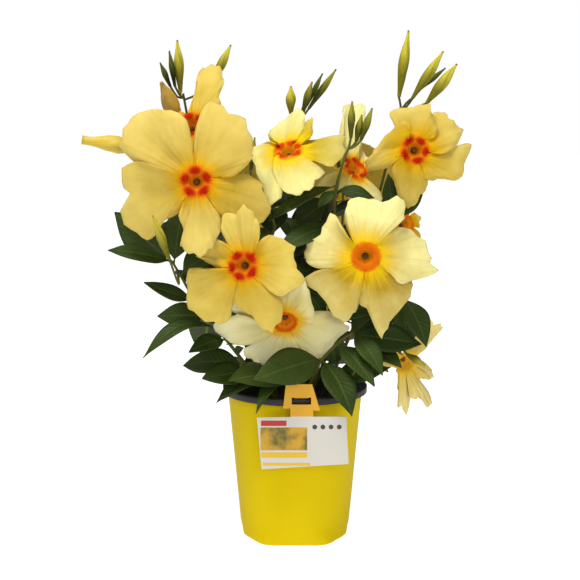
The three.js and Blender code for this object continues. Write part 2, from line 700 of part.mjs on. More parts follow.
// Leafy stems: the path up from the soil, leaves as [from, tip, width, face], stalks to blooms, buds
const SHOOTS = {
  stem_low_left: {
    path: [
      [-16, -16], [-42, -30, 165], [-70, -42, 204],
      [-93, -39, 233], [-106, -41, 256], [-114, -45, 271],
    ],
    leaves: [
      { from: 1, tip: [-166, -46, 317], wide: 0.26, face: [-0.3, -0.9, 0.3] },
      { from: 0.99, tip: [-170, -70, 284], wide: 0.17, face: [0, -0.7, 0.7], arch: 0.05 },
      { from: 0.96, tip: [-104, -28, 322], wide: 0.26, face: [-0.1, -0.95, -0.1] },
      { from: 0.82, tip: [-74, -30, 282], wide: 0.3, face: [0, -0.95, 0.2] },
      { from: 0.6, tip: [-139, -56, 253], wide: 0.15, face: [0, -0.8, 0.6], arch: -0.03 },
      { from: 0.5, tip: [-127, -60, 222], wide: 0.26, face: [0, -0.9, 0.4], arch: 0.02 },
      { from: 0.42, tip: [-138, -82, 187], wide: 0.12, face: [0, -0.45, 0.9], arch: 0.24 },
      { from: 0.3, tip: [-48, -46, 190], wide: 0.3, face: [0, -0.95, 0.3] },
      { from: 0.36, tip: [-98, -64, 189], wide: 0.24, face: [-0.2, -0.8, 0.6] },
      { from: 0.2, tip: [-86, -68, 165], wide: 0.24, face: [-0.1, -0.8, 0.6], arch: 0 },
      { from: 0.1, tip: [-73, -62, 141], wide: 0.17, face: [-0.3, -0.6, 0.7], arch: 0.2 },
    ],
    stalks: [],
    buds: [
      { from: 0.88, by: [-106, -84, 258], foot: [-111, -104, 279], tip: [-124, -119, 320], thick: 1.2 },
    ],
  },
  stem_upper_left: {
    path: [[-20, 2], [-50, 0, 190], [-70, -2, 255], [-86, 6, 320], [-99, 8, 385], [-105, -8, 425]],
    leaves: [{ from: 0.5, tip: [-132, -30, 300], wide: 0.2, face: [-0.2, -0.6, 0.7] }],
    stalks: [
      { from: 0.62, to: "bloom_left" },
      { from: 0.7, to: "bloom_upper_left" },
      { from: 0.72, to: "closed_flower_left" },
      { from: 0.86, to: "faded_flower_left", by: [-112, 0, 400] },
    ],
    buds: [
      { from: 0.98, by: [-106, -10, 425], foot: [-107, -13, 426], tip: [-109, -20, 474], thick: 1.4 },
      { from: 0.98, by: [-108, -12, 424], foot: [-112, -16, 432], tip: [-116, -26, 464], thick: 0.8 },
      { from: 0.98, by: [-110, -14, 422], foot: [-116, -20, 432], tip: [-124, -32, 453], thick: 0.8 },
      { from: 0.97, by: [-94, 10, 424], foot: [-80, 16, 434], tip: [-61, 18, 471], thick: 1.3 },
    ],
  },
  stem_front_left: {
    path: [
      [-4, -22], [-14, -34, 175], [-26, -34, 215],
      [-30, -34, 252], [-24, -40, 284], [-18, -52, 306],
    ],
    leaves: [
      { from: 0.1, tip: [-61, -92, 168], wide: 0.2, face: [-0.2, -0.8, 0.6] },
      { from: 0.1, tip: [-35, -92, 138], wide: 0.1, face: [-0.3, -0.7, 0.6], arch: 0.16 },
      { from: 0.56, tip: [-79, -28, 240], wide: 0.22, face: [0, -0.6, 0.8] },
    ],
    stalks: [
      { from: 0.58, to: "bloom_low_centre" },
      { from: 0.62, to: "bloom_cream", by: [-18, -26, 250] },
    ],
    buds: [{ from: 0.98, by: [-20, -56, 310], foot: [-22, -60, 313], tip: [-27, -74, 324], thick: 0.8 }],
  },
  stem_top_centre: {
    path: [[0, 8], [-6, 4, 200], [-2, 4, 270], [4, 10, 330], [7, 12, 378], [6, 6, 404]],
    leaves: [{ from: 0.5, tip: [30, -14, 324], wide: 0.3, face: [0, -0.9, 0.2] }],
    stalks: [{ from: 0.66, to: "bloom_top_centre" }],
    buds: [
      { from: 0.98, by: [0, 2, 406], foot: [-4, -4, 406], tip: [-4, -8, 432], thick: 1.4 },
      { from: 0.98, by: [10, 2, 408], foot: [7, -2, 409], tip: [16, -8, 436], thick: 1 },
      { from: 0.98, by: [14, 4, 408], foot: [11, 4, 414], tip: [26, 2, 444], thick: 0.75 },
      { from: 0.98, by: [16, 6, 406], foot: [13, 9, 411], tip: [39, 8, 448], thick: 1 },
    ],
  },
  stem_centre: {
    path: [
      [14, -18], [24, -30, 180], [34, -36, 235], [37, -42, 290],
      [36, -50, 330], [43, -60, 362], [48, -63, 376],
    ],
    leaves: [
      { from: 0.72, tip: [-24, -68, 310], wide: 0.13, face: [0, -0.5, 0.86] },
      { from: 0.7, tip: [20, -62, 322], wide: 0.22, face: [-0.3, -0.9, 0.2] },
      { from: 0.7, tip: [72, -52, 330], wide: 0.2, face: [0.2, -0.8, 0.5] },
    ],
    stalks: [{ from: 0.78, to: "bloom_centre_right", by: [36, -24, 322] }],
    buds: [
      { from: 0.99, by: [49, -63, 380], foot: [50, -63, 385], tip: [51, -65, 418] },
      { from: 0.99, by: [52, -62, 378], foot: [55, -61, 382], tip: [60, -60, 406] },
      { from: 0.99, by: [54, -64, 378], foot: [59, -64, 383], tip: [69, -66, 412] },
    ],
  },
  stem_right: {
    path: [[24, -4], [44, -10, 175], [60, -14, 215], [72, -14, 252], [84, -14, 288], [93, -16, 312]],
    leaves: [
      { from: 0.3, tip: [84, -22, 224], wide: 0.3, face: [0, -0.95, 0.3] },
      { from: 0.16, tip: [30, -24, 205], wide: 0.3, face: [0, -0.95, 0.3] },
      { from: 0.97, tip: [122, -12, 338], wide: 0.24, face: [0.2, -0.8, 0.5] },
      { from: 0.95, tip: [88, -12, 350], wide: 0.2, face: [0.1, -0.9, 0.3] },
    ],
    stalks: [{ from: 0.6, to: "bloom_right" }],
    buds: [],
  },
  stem_upper_right: {
    path: [[16, 16], [38, 18, 190], [62, 18, 260], [80, 14, 325], [92, 4, 378], [99, -8, 410]],
    leaves: [],
    stalks: [
      { from: 0.72, to: "bloom_top_right" },
      { from: 0.5, to: "bloom_far_right" },
    ],
    buds: [
      { from: 0.98, by: [99, -10, 413], foot: [97, -12, 422], tip: [105, -16, 483], thick: 1.45 },
      { from: 0.98, by: [104, -9, 416], foot: [110, -10, 421], tip: [138, -12, 464], thick: 1.4 },
      { from: 0.98, by: [106, -3, 414], foot: [116, 2, 428], tip: [142, 4, 449], thick: 0.8 },
      { from: 0.98, by: [106, -14, 410], foot: [122, -22, 416], tip: [149, -28, 452], thick: 1.55 },
    ],
  },
  stem_low_right: {
    path: [[30, -18], [56, -34, 165], [80, -34, 196], [96, -34, 222], [101, -36, 238]],
    leaves: [
      { from: 0.98, tip: [121, -60, 193], wide: 0.24, face: [0.4, -0.85, 0.3] },
      { from: 0.86, tip: [106, -36, 188], wide: 0.3, face: [0.1, -0.9, 0.3] },
      { from: 0.4, tip: [98, -66, 175], wide: 0.24, face: [0.2, -0.7, 0.7] },
    ],
    stalks: [{ from: 0.62, to: "bloom_low_right", by: [84, 10, 206] }],
    buds: [{ from: 0.6, by: [100, -44, 190], foot: [104, -46, 184], tip: [121, -50, 174], thick: 1.1 }],
  },
  stem_front_right: {
    path: [[8, -30], [16, -42, 160], [26, -46, 180], [42, -50, 197], [54, -53, 206]],
    leaves: [
      { from: 0.5, tip: [-38, -98, 170], wide: 0.22, face: [0.2, -0.85, 0.5], arch: 0.05 },
      { from: 0.92, tip: [118, -46, 193], wide: 0.22, face: [0, -0.8, 0.6], arch: 0.03 },
      { from: 0.48, tip: [51, -96, 136], wide: 0.22, face: [0.3, -0.7, 0.7] },
      { from: 0.98, tip: [79, -88, 172], wide: 0.2, face: [0.3, -0.8, 0.5] },
      { from: 0.7, tip: [72, -88, 162], wide: 0.18, face: [0.2, -0.8, 0.6] },
    ],
    stalks: [],
    buds: [],
  },
  stem_back_left: {
    path: [[-18, 22], [-38, 42, 200], [-48, 54, 268], [-44, 56, 340]],
    leaves: [],
    stalks: [{ from: 0.74, to: "bloom_back_left" }],
    buds: [{ from: 0.98, by: [-44, 58, 344], foot: [-44, 62, 350], tip: [-40, 70, 382] }],
  },
  stem_back_right: {
    path: [[14, 30], [34, 48, 200], [46, 54, 280], [48, 52, 340]],
    leaves: [],
    stalks: [{ from: 0.9, to: "bloom_back_right" }],
    buds: [{ from: 0.98, by: [47, 50, 344], foot: [44, 50, 352], tip: [38, 54, 384] }],
  },
  stem_back_low: {
    path: [[-2, 36], [-4, 54, 170], [4, 58, 216], [8, 54, 262]],
    leaves: [],
    stalks: [{ from: 0.62, to: "bloom_back_low" }],
    buds: [],
  },
};

// A stem's path above the soil, and its upright foot in the soil
function stemPath([[x, y], ...rest]) {
  return curve([vec(x, y, SOIL.top + 4), ...rest.map((p) => vec(...p))]);
}

function stemFoot([[x, y]]) {
  return vec(x, y, SOIL.top - SOIL.stemHoleDepth + 1);
}

function stemRadius(t) {
  return STEM.bottomRadius + (STEM.topRadius - STEM.bottomRadius) * t;
}

// A leaf's half width as a share of its widest: a narrow stalk, then a pointed ellipse
function leafOutline(v) {
  const blade = Math.max((v - 0.1) / 0.9, 0);
  return Math.sin(Math.PI * blade ** 0.82) ** 0.95;
}

// A place on a leaf: v runs from stem to tip, u from one edge to the other
function leafPoint(leaf, v, u) {
  const { from, tip, wide, face, arch = LEAF.arch } = leaf;
  const axis = tip.clone().sub(from);
  const length = axis.length();
  const along = axis.clone().divideScalar(length);
  const side = face.clone().cross(along).normalize();
  const normal = along.clone().cross(side);
  const half = Math.max(wide * length * leafOutline(v), v < 0.5 ? 0.8 : 0.35);
  const raised = arch * length * Math.sin(Math.PI * v) + LEAF.fold * half * Math.abs(u);
  return sum(from, [axis, v], [side, half * u], [normal, raised]);
}

const NAMED_LEAF = { rows: [0, 0.18, 0.42, 0.7, 1], columns: [-1, 0, 1] };
const PAIRED_LEAF = { rows: [0, 0.24, 0.62, 1], columns: [-1, 1] };

function leafSolid(leaf) {
  const { rows, columns } = leaf.grid;
  const across = (v) => (v === 0 || v === 1 ? [0] : columns);
  return sheet(rows.map((v) => across(v).map((u) => leafPoint(leaf, v, u))), BLADE);
}

// Points spread over a leaf or bloom, to keep other leaves away from it
function leafSamples(leaf) {
  const samples = [];
  for (let v = 0.2; v <= 1.001; v += 0.1) {
    for (let u = -1; u <= 1; u += 0.5) {
      samples.push(leafPoint(leaf, v, u));
    }
  }
  return samples;
}

function bloomSamples({ frame, lobes }) {
  const samples = [];
  for (const each of lobes) {
    for (let s = 0; s <= 1.001; s += 0.125) {
      for (let u = -1; u <= 1; u += 0.25) {
        samples.push(lobePoint(frame, each, s, u));
      }
    }
  }
  for (let back = 0; back <= FUNNEL.length; back += 5) {
    samples.push(sum(frame.at, [frame.front, -back]));
  }
  return samples;
}

// How far leaves reach from the axis at a height
function foliageReach(z) {
  const share = Math.min(Math.max((z - SOIL.top) / (FOLIAGE.top - SOIL.top), 0), 1);
  return FOLIAGE.low + (FOLIAGE.wide - FOLIAGE.low) * Math.sin(Math.PI * share ** 0.8);
}

// Whether a leaf's place is free of the pots, the label and what has been placed
function isFree(samples, shootName, taken) {
  return samples.every((p) => {
    const out = Math.hypot(p.x, p.y);
    if (p.z < RIM_TOP + 5 && out < RIM.radius + 5) return false;
    if (p.z < 178 && p.y < -62 && Math.abs(p.x - 6) < 50) return false;
    if (p.z < 115 || p.z > FOLIAGE.top) return false;
    if (Math.hypot(p.x, 1.1 * p.y) > foliageReach(p.z)) return false;
    return taken.every(({ point, owner }) => {
      const room = owner === shootName ? OWN_LEAF_ROOM : LEAF_ROOM;
      return p.distanceToSquared(point) > room * room;
    });
  });
}

// Opposite pairs of leaves, each pair turned a quarter from the last, wherever there is room
function pairedLeaves(shootName, path, random, taken) {
  const leaves = [];
  const nodes = Math.round(path.getLength() / LEAF.spacing);
  for (let k = 0; k < nodes; k++) {
    const t = 0.1 + (0.9 * k) / nodes;
    const from = path.getPoint(t);
    const along = path.getTangent(t);
    const first = Math.atan2(from.y, from.x) + (k * Math.PI) / 2;
    for (const half of [0, Math.PI]) {
      for (let attempt = 0; attempt < 9; attempt++) {
        const turn = first + half + (random() - 0.5) * 1.5;
        const rise = from.z < 175 ? 0.05 + 0.5 * random() : 0.4 - 1.1 * random();
        const length = LEAF.shortest + (LEAF.longest - LEAF.shortest) * random();
        const wide = 0.19 + 0.05 * random();
        const flat = vec(Math.cos(turn), Math.sin(turn), 0);
        const away = sum(flat, [along, -flat.dot(along)]).normalize();
        const tip = sum(from, [away, length * Math.cos(rise)], [UP, length * Math.sin(rise)]);
        const outward = vec(0, tip.y < 10 ? -1 : 1, 0);
        const face = sum(UP, [away, 0.4 + 0.5 * random()], [outward, 0.3 + 0.9 * random()]);
        const leaf = { from, tip, wide, face, grid: PAIRED_LEAF };
        const samples = leafSamples(leaf);
        if (!isFree(samples, shootName, taken)) continue;
        leaves.push(leaf);
        samples.forEach((point) => taken.push({ point, owner: shootName }));
        break;
      }
    }
  }
  return leaves;
}

// Everything that grows is placed first, then made solid
function stalkPath(stem, { from, by, to }, feet) {
  const start = stem.getPoint(from);
  const { foot, back } = feet[to];
  const turn = by ? vec(...by) : start.clone().lerp(sum(foot, [back, 14]), 0.6);
  return { path: curve([start, turn, sum(foot, [back, STALK.cupLength])]), end: foot };
}

function grow() {
  const blooms = {};
  const feet = {};
  const taken = [];
  for (const [name, { at, facing, lobes, finish }] of Object.entries(BLOOMS)) {
    const frame = frameOf(at, facing);
    blooms[name] = { frame, lobes, finish };
    feet[name] = { foot: bloomFoot(frame), back: frame.front.clone().negate() };
    bloomSamples(blooms[name]).forEach((point) => taken.push({ point, owner: name }));
  }
  for (const [name, { from, tip }] of Object.entries(FURLED)) {
    const back = vec(...from).sub(vec(...tip)).normalize();
    feet[name] = { foot: sum(vec(...from), [back, FIT]), back };
    for (let t = 0; t <= 1; t += 0.1) {
      taken.push({ point: vec(...from).lerp(vec(...tip), t), owner: name });
    }
  }
  const shoots = Object.entries(SHOOTS).map(([name, { path, leaves, stalks, buds }]) => {
    const stem = stemPath(path);
    const named = leaves.map((leaf) => ({
      ...leaf,
      grid: NAMED_LEAF,
      from: stem.getPoint(leaf.from),
      tip: vec(...leaf.tip),
      face: vec(...leaf.face).normalize(),
    }));
    const stalkPaths = stalks.map((stalk) => stalkPath(stem, stalk, feet));
    const budPaths = buds.map(({ from, by, foot, tip, thick = 1 }) => ({
      stalk: curve([stem.getPoint(from), vec(...by), vec(...foot)]),
      foot: vec(...foot),
      tip: vec(...tip),
      thick,
    }));
    const lines = [stem, ...stalkPaths.map((each) => each.path), ...budPaths.map(({ stalk }) => stalk)];
    for (const line of lines) {
      places(line, Math.round(line.getLength() / 5)).forEach((point) => taken.push({ point, owner: name }));
    }
    for (const { foot, tip } of budPaths) {
      for (let t = 0; t <= 1; t += 0.15) taken.push({ point: foot.clone().lerp(tip, t), owner: name });
    }
    for (const leaf of named) {
      leafSamples(leaf).forEach((point) => taken.push({ point, owner: name }));
    }
    return { name, foot: stemFoot(path), stem, leaves: named, stalkPaths, budPaths };
  });
  shoots.forEach((shoot, k) => {
    shoot.leaves.push(...pairedLeaves(shoot.name, shoot.stem, draws(7919 * (k + 1)), taken));
  });
  return { blooms, shoots };
}

// A bud and its stalk in one, as [share of the way from foot to tip, radius]
function budSolid({ stalk, foot, tip, thick }) {
  const swell = [
    [0, 1.3],
    [0.3, 0.7 * BUD.radius * thick],
    [0.56, BUD.radius * thick],
    [1, 0.4],
  ];
  const points = [stalk.getPoint(0), stalk.getPoint(0.5), ...swell.map(([t]) => foot.clone().lerp(tip, t))];
  const radii = [STALK.radius, STALK.radius, ...swell.map(([, radius]) => radius)];
  return tube(points, (t) => radii[Math.round(t * (radii.length - 1))], BUD.sides);
}

function shootSolid({ foot, stem, leaves, stalkPaths, budPaths }) {
  const stemPoints = [foot, ...places(stem, Math.round(stem.getLength() / STEM.step))];
  const parts = [tube(stemPoints, stemRadius, STEM.sides)];
  for (const { path, end } of stalkPaths) {
    const points = [...places(path, STALK.steps), end];
    const cup = (t) => (t * (STALK.steps + 1) > STALK.steps - 0.5 ? STALK.cupRadius : STALK.radius);
    parts.push(tube(points, cup, STALK.sides));
  }
  for (const bud of budPaths) {
    parts.push(budSolid(bud));
  }
  parts.push(...leaves.map(leafSolid));
  return fused(parts);
}

// A solid as a named three.js mesh
function mesh(name, made, finish) {
  const { numProp, vertProperties, triVerts } = made.getMesh();
  const positions = new Float32Array((vertProperties.length / numProp) * 3);
  for (let k = 0; k < positions.length / 3; k++) {
    positions.set(vertProperties.subarray(numProp * k, numProp * k + 3), 3 * k);
  }
  const geometry = new THREE.BufferGeometry();
  geometry.setAttribute("position", new THREE.BufferAttribute(positions, 3));
  geometry.setIndex(new THREE.BufferAttribute(new Uint32Array(triVerts), 1));
  const piece = new THREE.Mesh(geometry, new THREE.MeshStandardMaterial(FINISH[finish]));
  piece.name = name;
  return piece;
}

// The object
const { blooms, shoots } = grow();
const plant = new THREE.Group();
plant.add(
  mesh("outer_pot", outerPot(), "yellowPlastic"),
  mesh("nursery_pot", nurseryPot(), "darkPlastic"),
  mesh("soil", soil(Object.values(SHOOTS)), "soil"),
  mesh("plant_label", plantLabel(), "label"),
);
for (const shoot of shoots) plant.add(mesh(shoot.name, shootSolid(shoot), "green"));
for (const [name, bloom] of Object.entries(blooms)) plant.add(mesh(name, bloomSolid(bloom), bloom.finish));
for (const [name, flower] of Object.entries(FURLED)) plant.add(mesh(name, furled(flower), flower.finish));

export default plant;
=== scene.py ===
"""Potted calypso dipladenia: the finished looks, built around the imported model.

Sizes below are millimetres and follow the same rules as the model's own source, so each
finished piece keeps the place and form of the solid that it stands for. The meshes are metres.
"""

import math

import bmesh
import bpy
import numpy as np

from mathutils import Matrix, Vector


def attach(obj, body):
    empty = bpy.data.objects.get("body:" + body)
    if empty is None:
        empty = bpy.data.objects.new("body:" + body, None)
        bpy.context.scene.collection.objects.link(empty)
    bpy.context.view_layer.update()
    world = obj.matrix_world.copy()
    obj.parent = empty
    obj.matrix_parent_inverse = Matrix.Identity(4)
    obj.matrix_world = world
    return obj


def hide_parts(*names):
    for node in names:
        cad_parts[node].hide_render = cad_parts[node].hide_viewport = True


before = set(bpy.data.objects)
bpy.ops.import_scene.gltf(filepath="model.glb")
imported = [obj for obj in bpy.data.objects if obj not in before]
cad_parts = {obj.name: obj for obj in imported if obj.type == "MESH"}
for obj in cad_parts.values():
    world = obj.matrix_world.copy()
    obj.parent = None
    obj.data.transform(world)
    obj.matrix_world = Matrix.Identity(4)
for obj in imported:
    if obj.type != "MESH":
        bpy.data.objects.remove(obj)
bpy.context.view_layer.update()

# Driving dimensions, the same as the model's
FIT = 0.3
POT = dict(height=139, top_radius=64.9, foot_radius=53.6, wall=2, floor=2.5)
FOOT = dict(blend_height=16, front_corner=60.5, side_corner=53.5, softening=8)
RIM = dict(radius=70, height=6.4, lip_width=3, wall=1.5)
NURSERY = dict(bottom_radius=43, top_radius=60)
SOIL = dict(top=127, lump=1.6)
CRUMBS = dict(density=90000.0, radius=0.001, lowest=0.12, flattest=0.5)
LABEL = dict(front=-74, card_top=130.8, print_raised=0.12, print_thickness=0.15)
STEM = dict(bottom_radius=1.9, top_radius=1.1, hole_depth=20)
STALK = dict(radius=1.1, cup_length=5, straight=14, turn_at=0.6)
FUNNEL = dict(mouth=8.8, length=46)
LOBE = dict(root_half=5.8, round=0.22, skew=0.12, tilt=-0.12, overlap=3.4, root_turn=34, lift=-6)
LEAF = dict(fold=0.14, arch=0.09, spacing=26, shortest=60, longest=92, tries=9, low=175)
BUD_RADIUS = 3.9
CLOSED_RADIUS = 8.5
BUD_FOLDS, BUD_TWIST = 3, 1.1
FOLIAGE = dict(top=352, bottom=115, low=84, wide=122)
LABEL_ROOM = dict(top=178, front=-62, middle=6, half=50)
RIM_ROOM = 5
LEAF_ROOM = 7
OWN_LEAF_ROOM = 4
ROOM_STEP = 5
LEAF_SEED = 7919
RIM_BOTTOM = POT["height"] + FIT
RIM_TOP = RIM_BOTTOM + RIM["height"]

# Blade thickness and fineness of the finished pieces
BLADE = 0.7
PETAL_ROWS, PETAL_COLUMNS = 28, 28
LEAF_ROWS, LEAF_COLUMNS = 15, 8
POT_SIDES = 144
SOIL_RINGS, SOIL_SIDES = 30, 96
BUD_ROWS, BUD_SIDES = 18, 24
STALK_SIDES, STALK_STEP = 8, 6


# Points and curves
UP = np.array([0.0, 0.0, 1.0])


def vec(values):
    return np.array(values, dtype=float)


def unit(v):
    return v / np.linalg.norm(v)


def smooth(x, low, high):
    share = np.clip((x - low) / (high - low), 0, 1)
    return share * share * (3 - 2 * share)


def crossed(rows, columns):
    """The two steps of every point of a grid."""
    return np.meshgrid(rows, columns, indexing="ij")


def round_about(turn, right, up):
    """Directions at many turns, from right towards up."""
    return np.cos(turn)[..., None] * right + np.sin(turn)[..., None] * up


class Path:
    """A smooth curve through points, as the model draws it."""

    def __init__(self, points):
        self.points = [vec(p) for p in points]

    def at(self, t):
        points = self.points
        last = len(points) - 1
        k = min(math.floor(last * t), last - 1)
        w = last * t - k
        p1, p2 = points[k], points[k + 1]
        p0 = points[k - 1] if k > 0 else 2 * p1 - p2
        p3 = points[k + 2] if k + 2 <= last else 2 * p2 - p1
        t0, t1 = (p2 - p0) / 2, (p3 - p1) / 2
        c2 = 3 * (p2 - p1) - 2 * t0 - t1
        c3 = 2 * (p1 - p2) + t0 + t1
        return p1 + t0 * w + c2 * w * w + c3 * w * w * w

    def heading(self, t):
        return unit(self.at(min(t + 1e-4, 1)) - self.at(max(t - 1e-4, 0)))

    def length(self):
        points = self.spread(200)
        return sum(float(np.linalg.norm(b - a)) for a, b in zip(points, points[1:]))

    def spread(self, count):
        return [self.at(k / count) for k in range(count + 1)]


# Places of the blooms, closed flowers and leafy stems
def lobe_to(turn, reach, roll=35, wide=0.6):
    """A lobe of a bloom by its direction, seen from the front, and how far it reaches."""
    return dict(turn=turn, reach=reach, roll=roll, wide=wide, phase=math.radians(turn * 1.7))


def star(first, *reaches):
    """Five lobes at even turns from the first, by how far each one reaches."""
    return [lobe_to((first + 72 * k) % 360, reach) for k, reach in enumerate(reaches)]


def petal(back, *rim):
    """A lobe by how far it bends back and the corners of its rim, each a direction and a reach."""
    corners = [(r * math.cos(math.radians(a)), r * math.sin(math.radians(a)), 0) for a, r in rim]
    return dict(back=back, rim=rim, edge=Path(corners), phase=math.radians(rim[0][0] * 1.7))


def open_bloom_at(mouth, facing, finish, lobes, tones=(0.5,) * 5):
    """A bloom with its right and up seen from the front. Tones and shades run from deep yellow, 0, to pale,
    1, one per lobe, matched to how bright each lobe looks: partly the lobe's own colour and partly painted
    light and shade.
    """
    front = unit(vec(facing))
    right = unit(np.cross(UP, front))
    lobes = [each | dict(tone=tone) for each, tone in zip(lobes, tones)]
    made = dict(at=vec(mouth), front=front, right=right, up=np.cross(front, right))
    return made | dict(finish=finish, lobes=lobes)


def closed_at(foot, tip, finish, swell):
    return dict(foot=vec(foot), tip=vec(tip), finish=finish, swell=swell)


def stem_through(path, leaves=(), stalks=(), buds=()):
    """A leafy stem from its hole in the soil through the points of its path."""
    (x, y), *rest = path
    hole = vec((x, y, SOIL["top"] - STEM["hole_depth"] + 1))
    stem = Path([(x, y, SOIL["top"] + 4), *rest])
    return dict(hole=hole, stem=stem, leaves=list(leaves), stalks=stalks, buds=buds)


def leaf_at(start, tip, wide, face, arch=LEAF["arch"]):
    return dict(start=start, tip=vec(tip), wide=wide, face=unit(vec(face)), arch=arch)


def stalk_to(start, flower, by=None):
    return dict(start=start, flower=flower, by=by)


def bud_at(start, by, foot, tip, thick=1):
    return dict(start=start, by=vec(by), foot=vec(foot), tip=vec(tip), thick=thick)
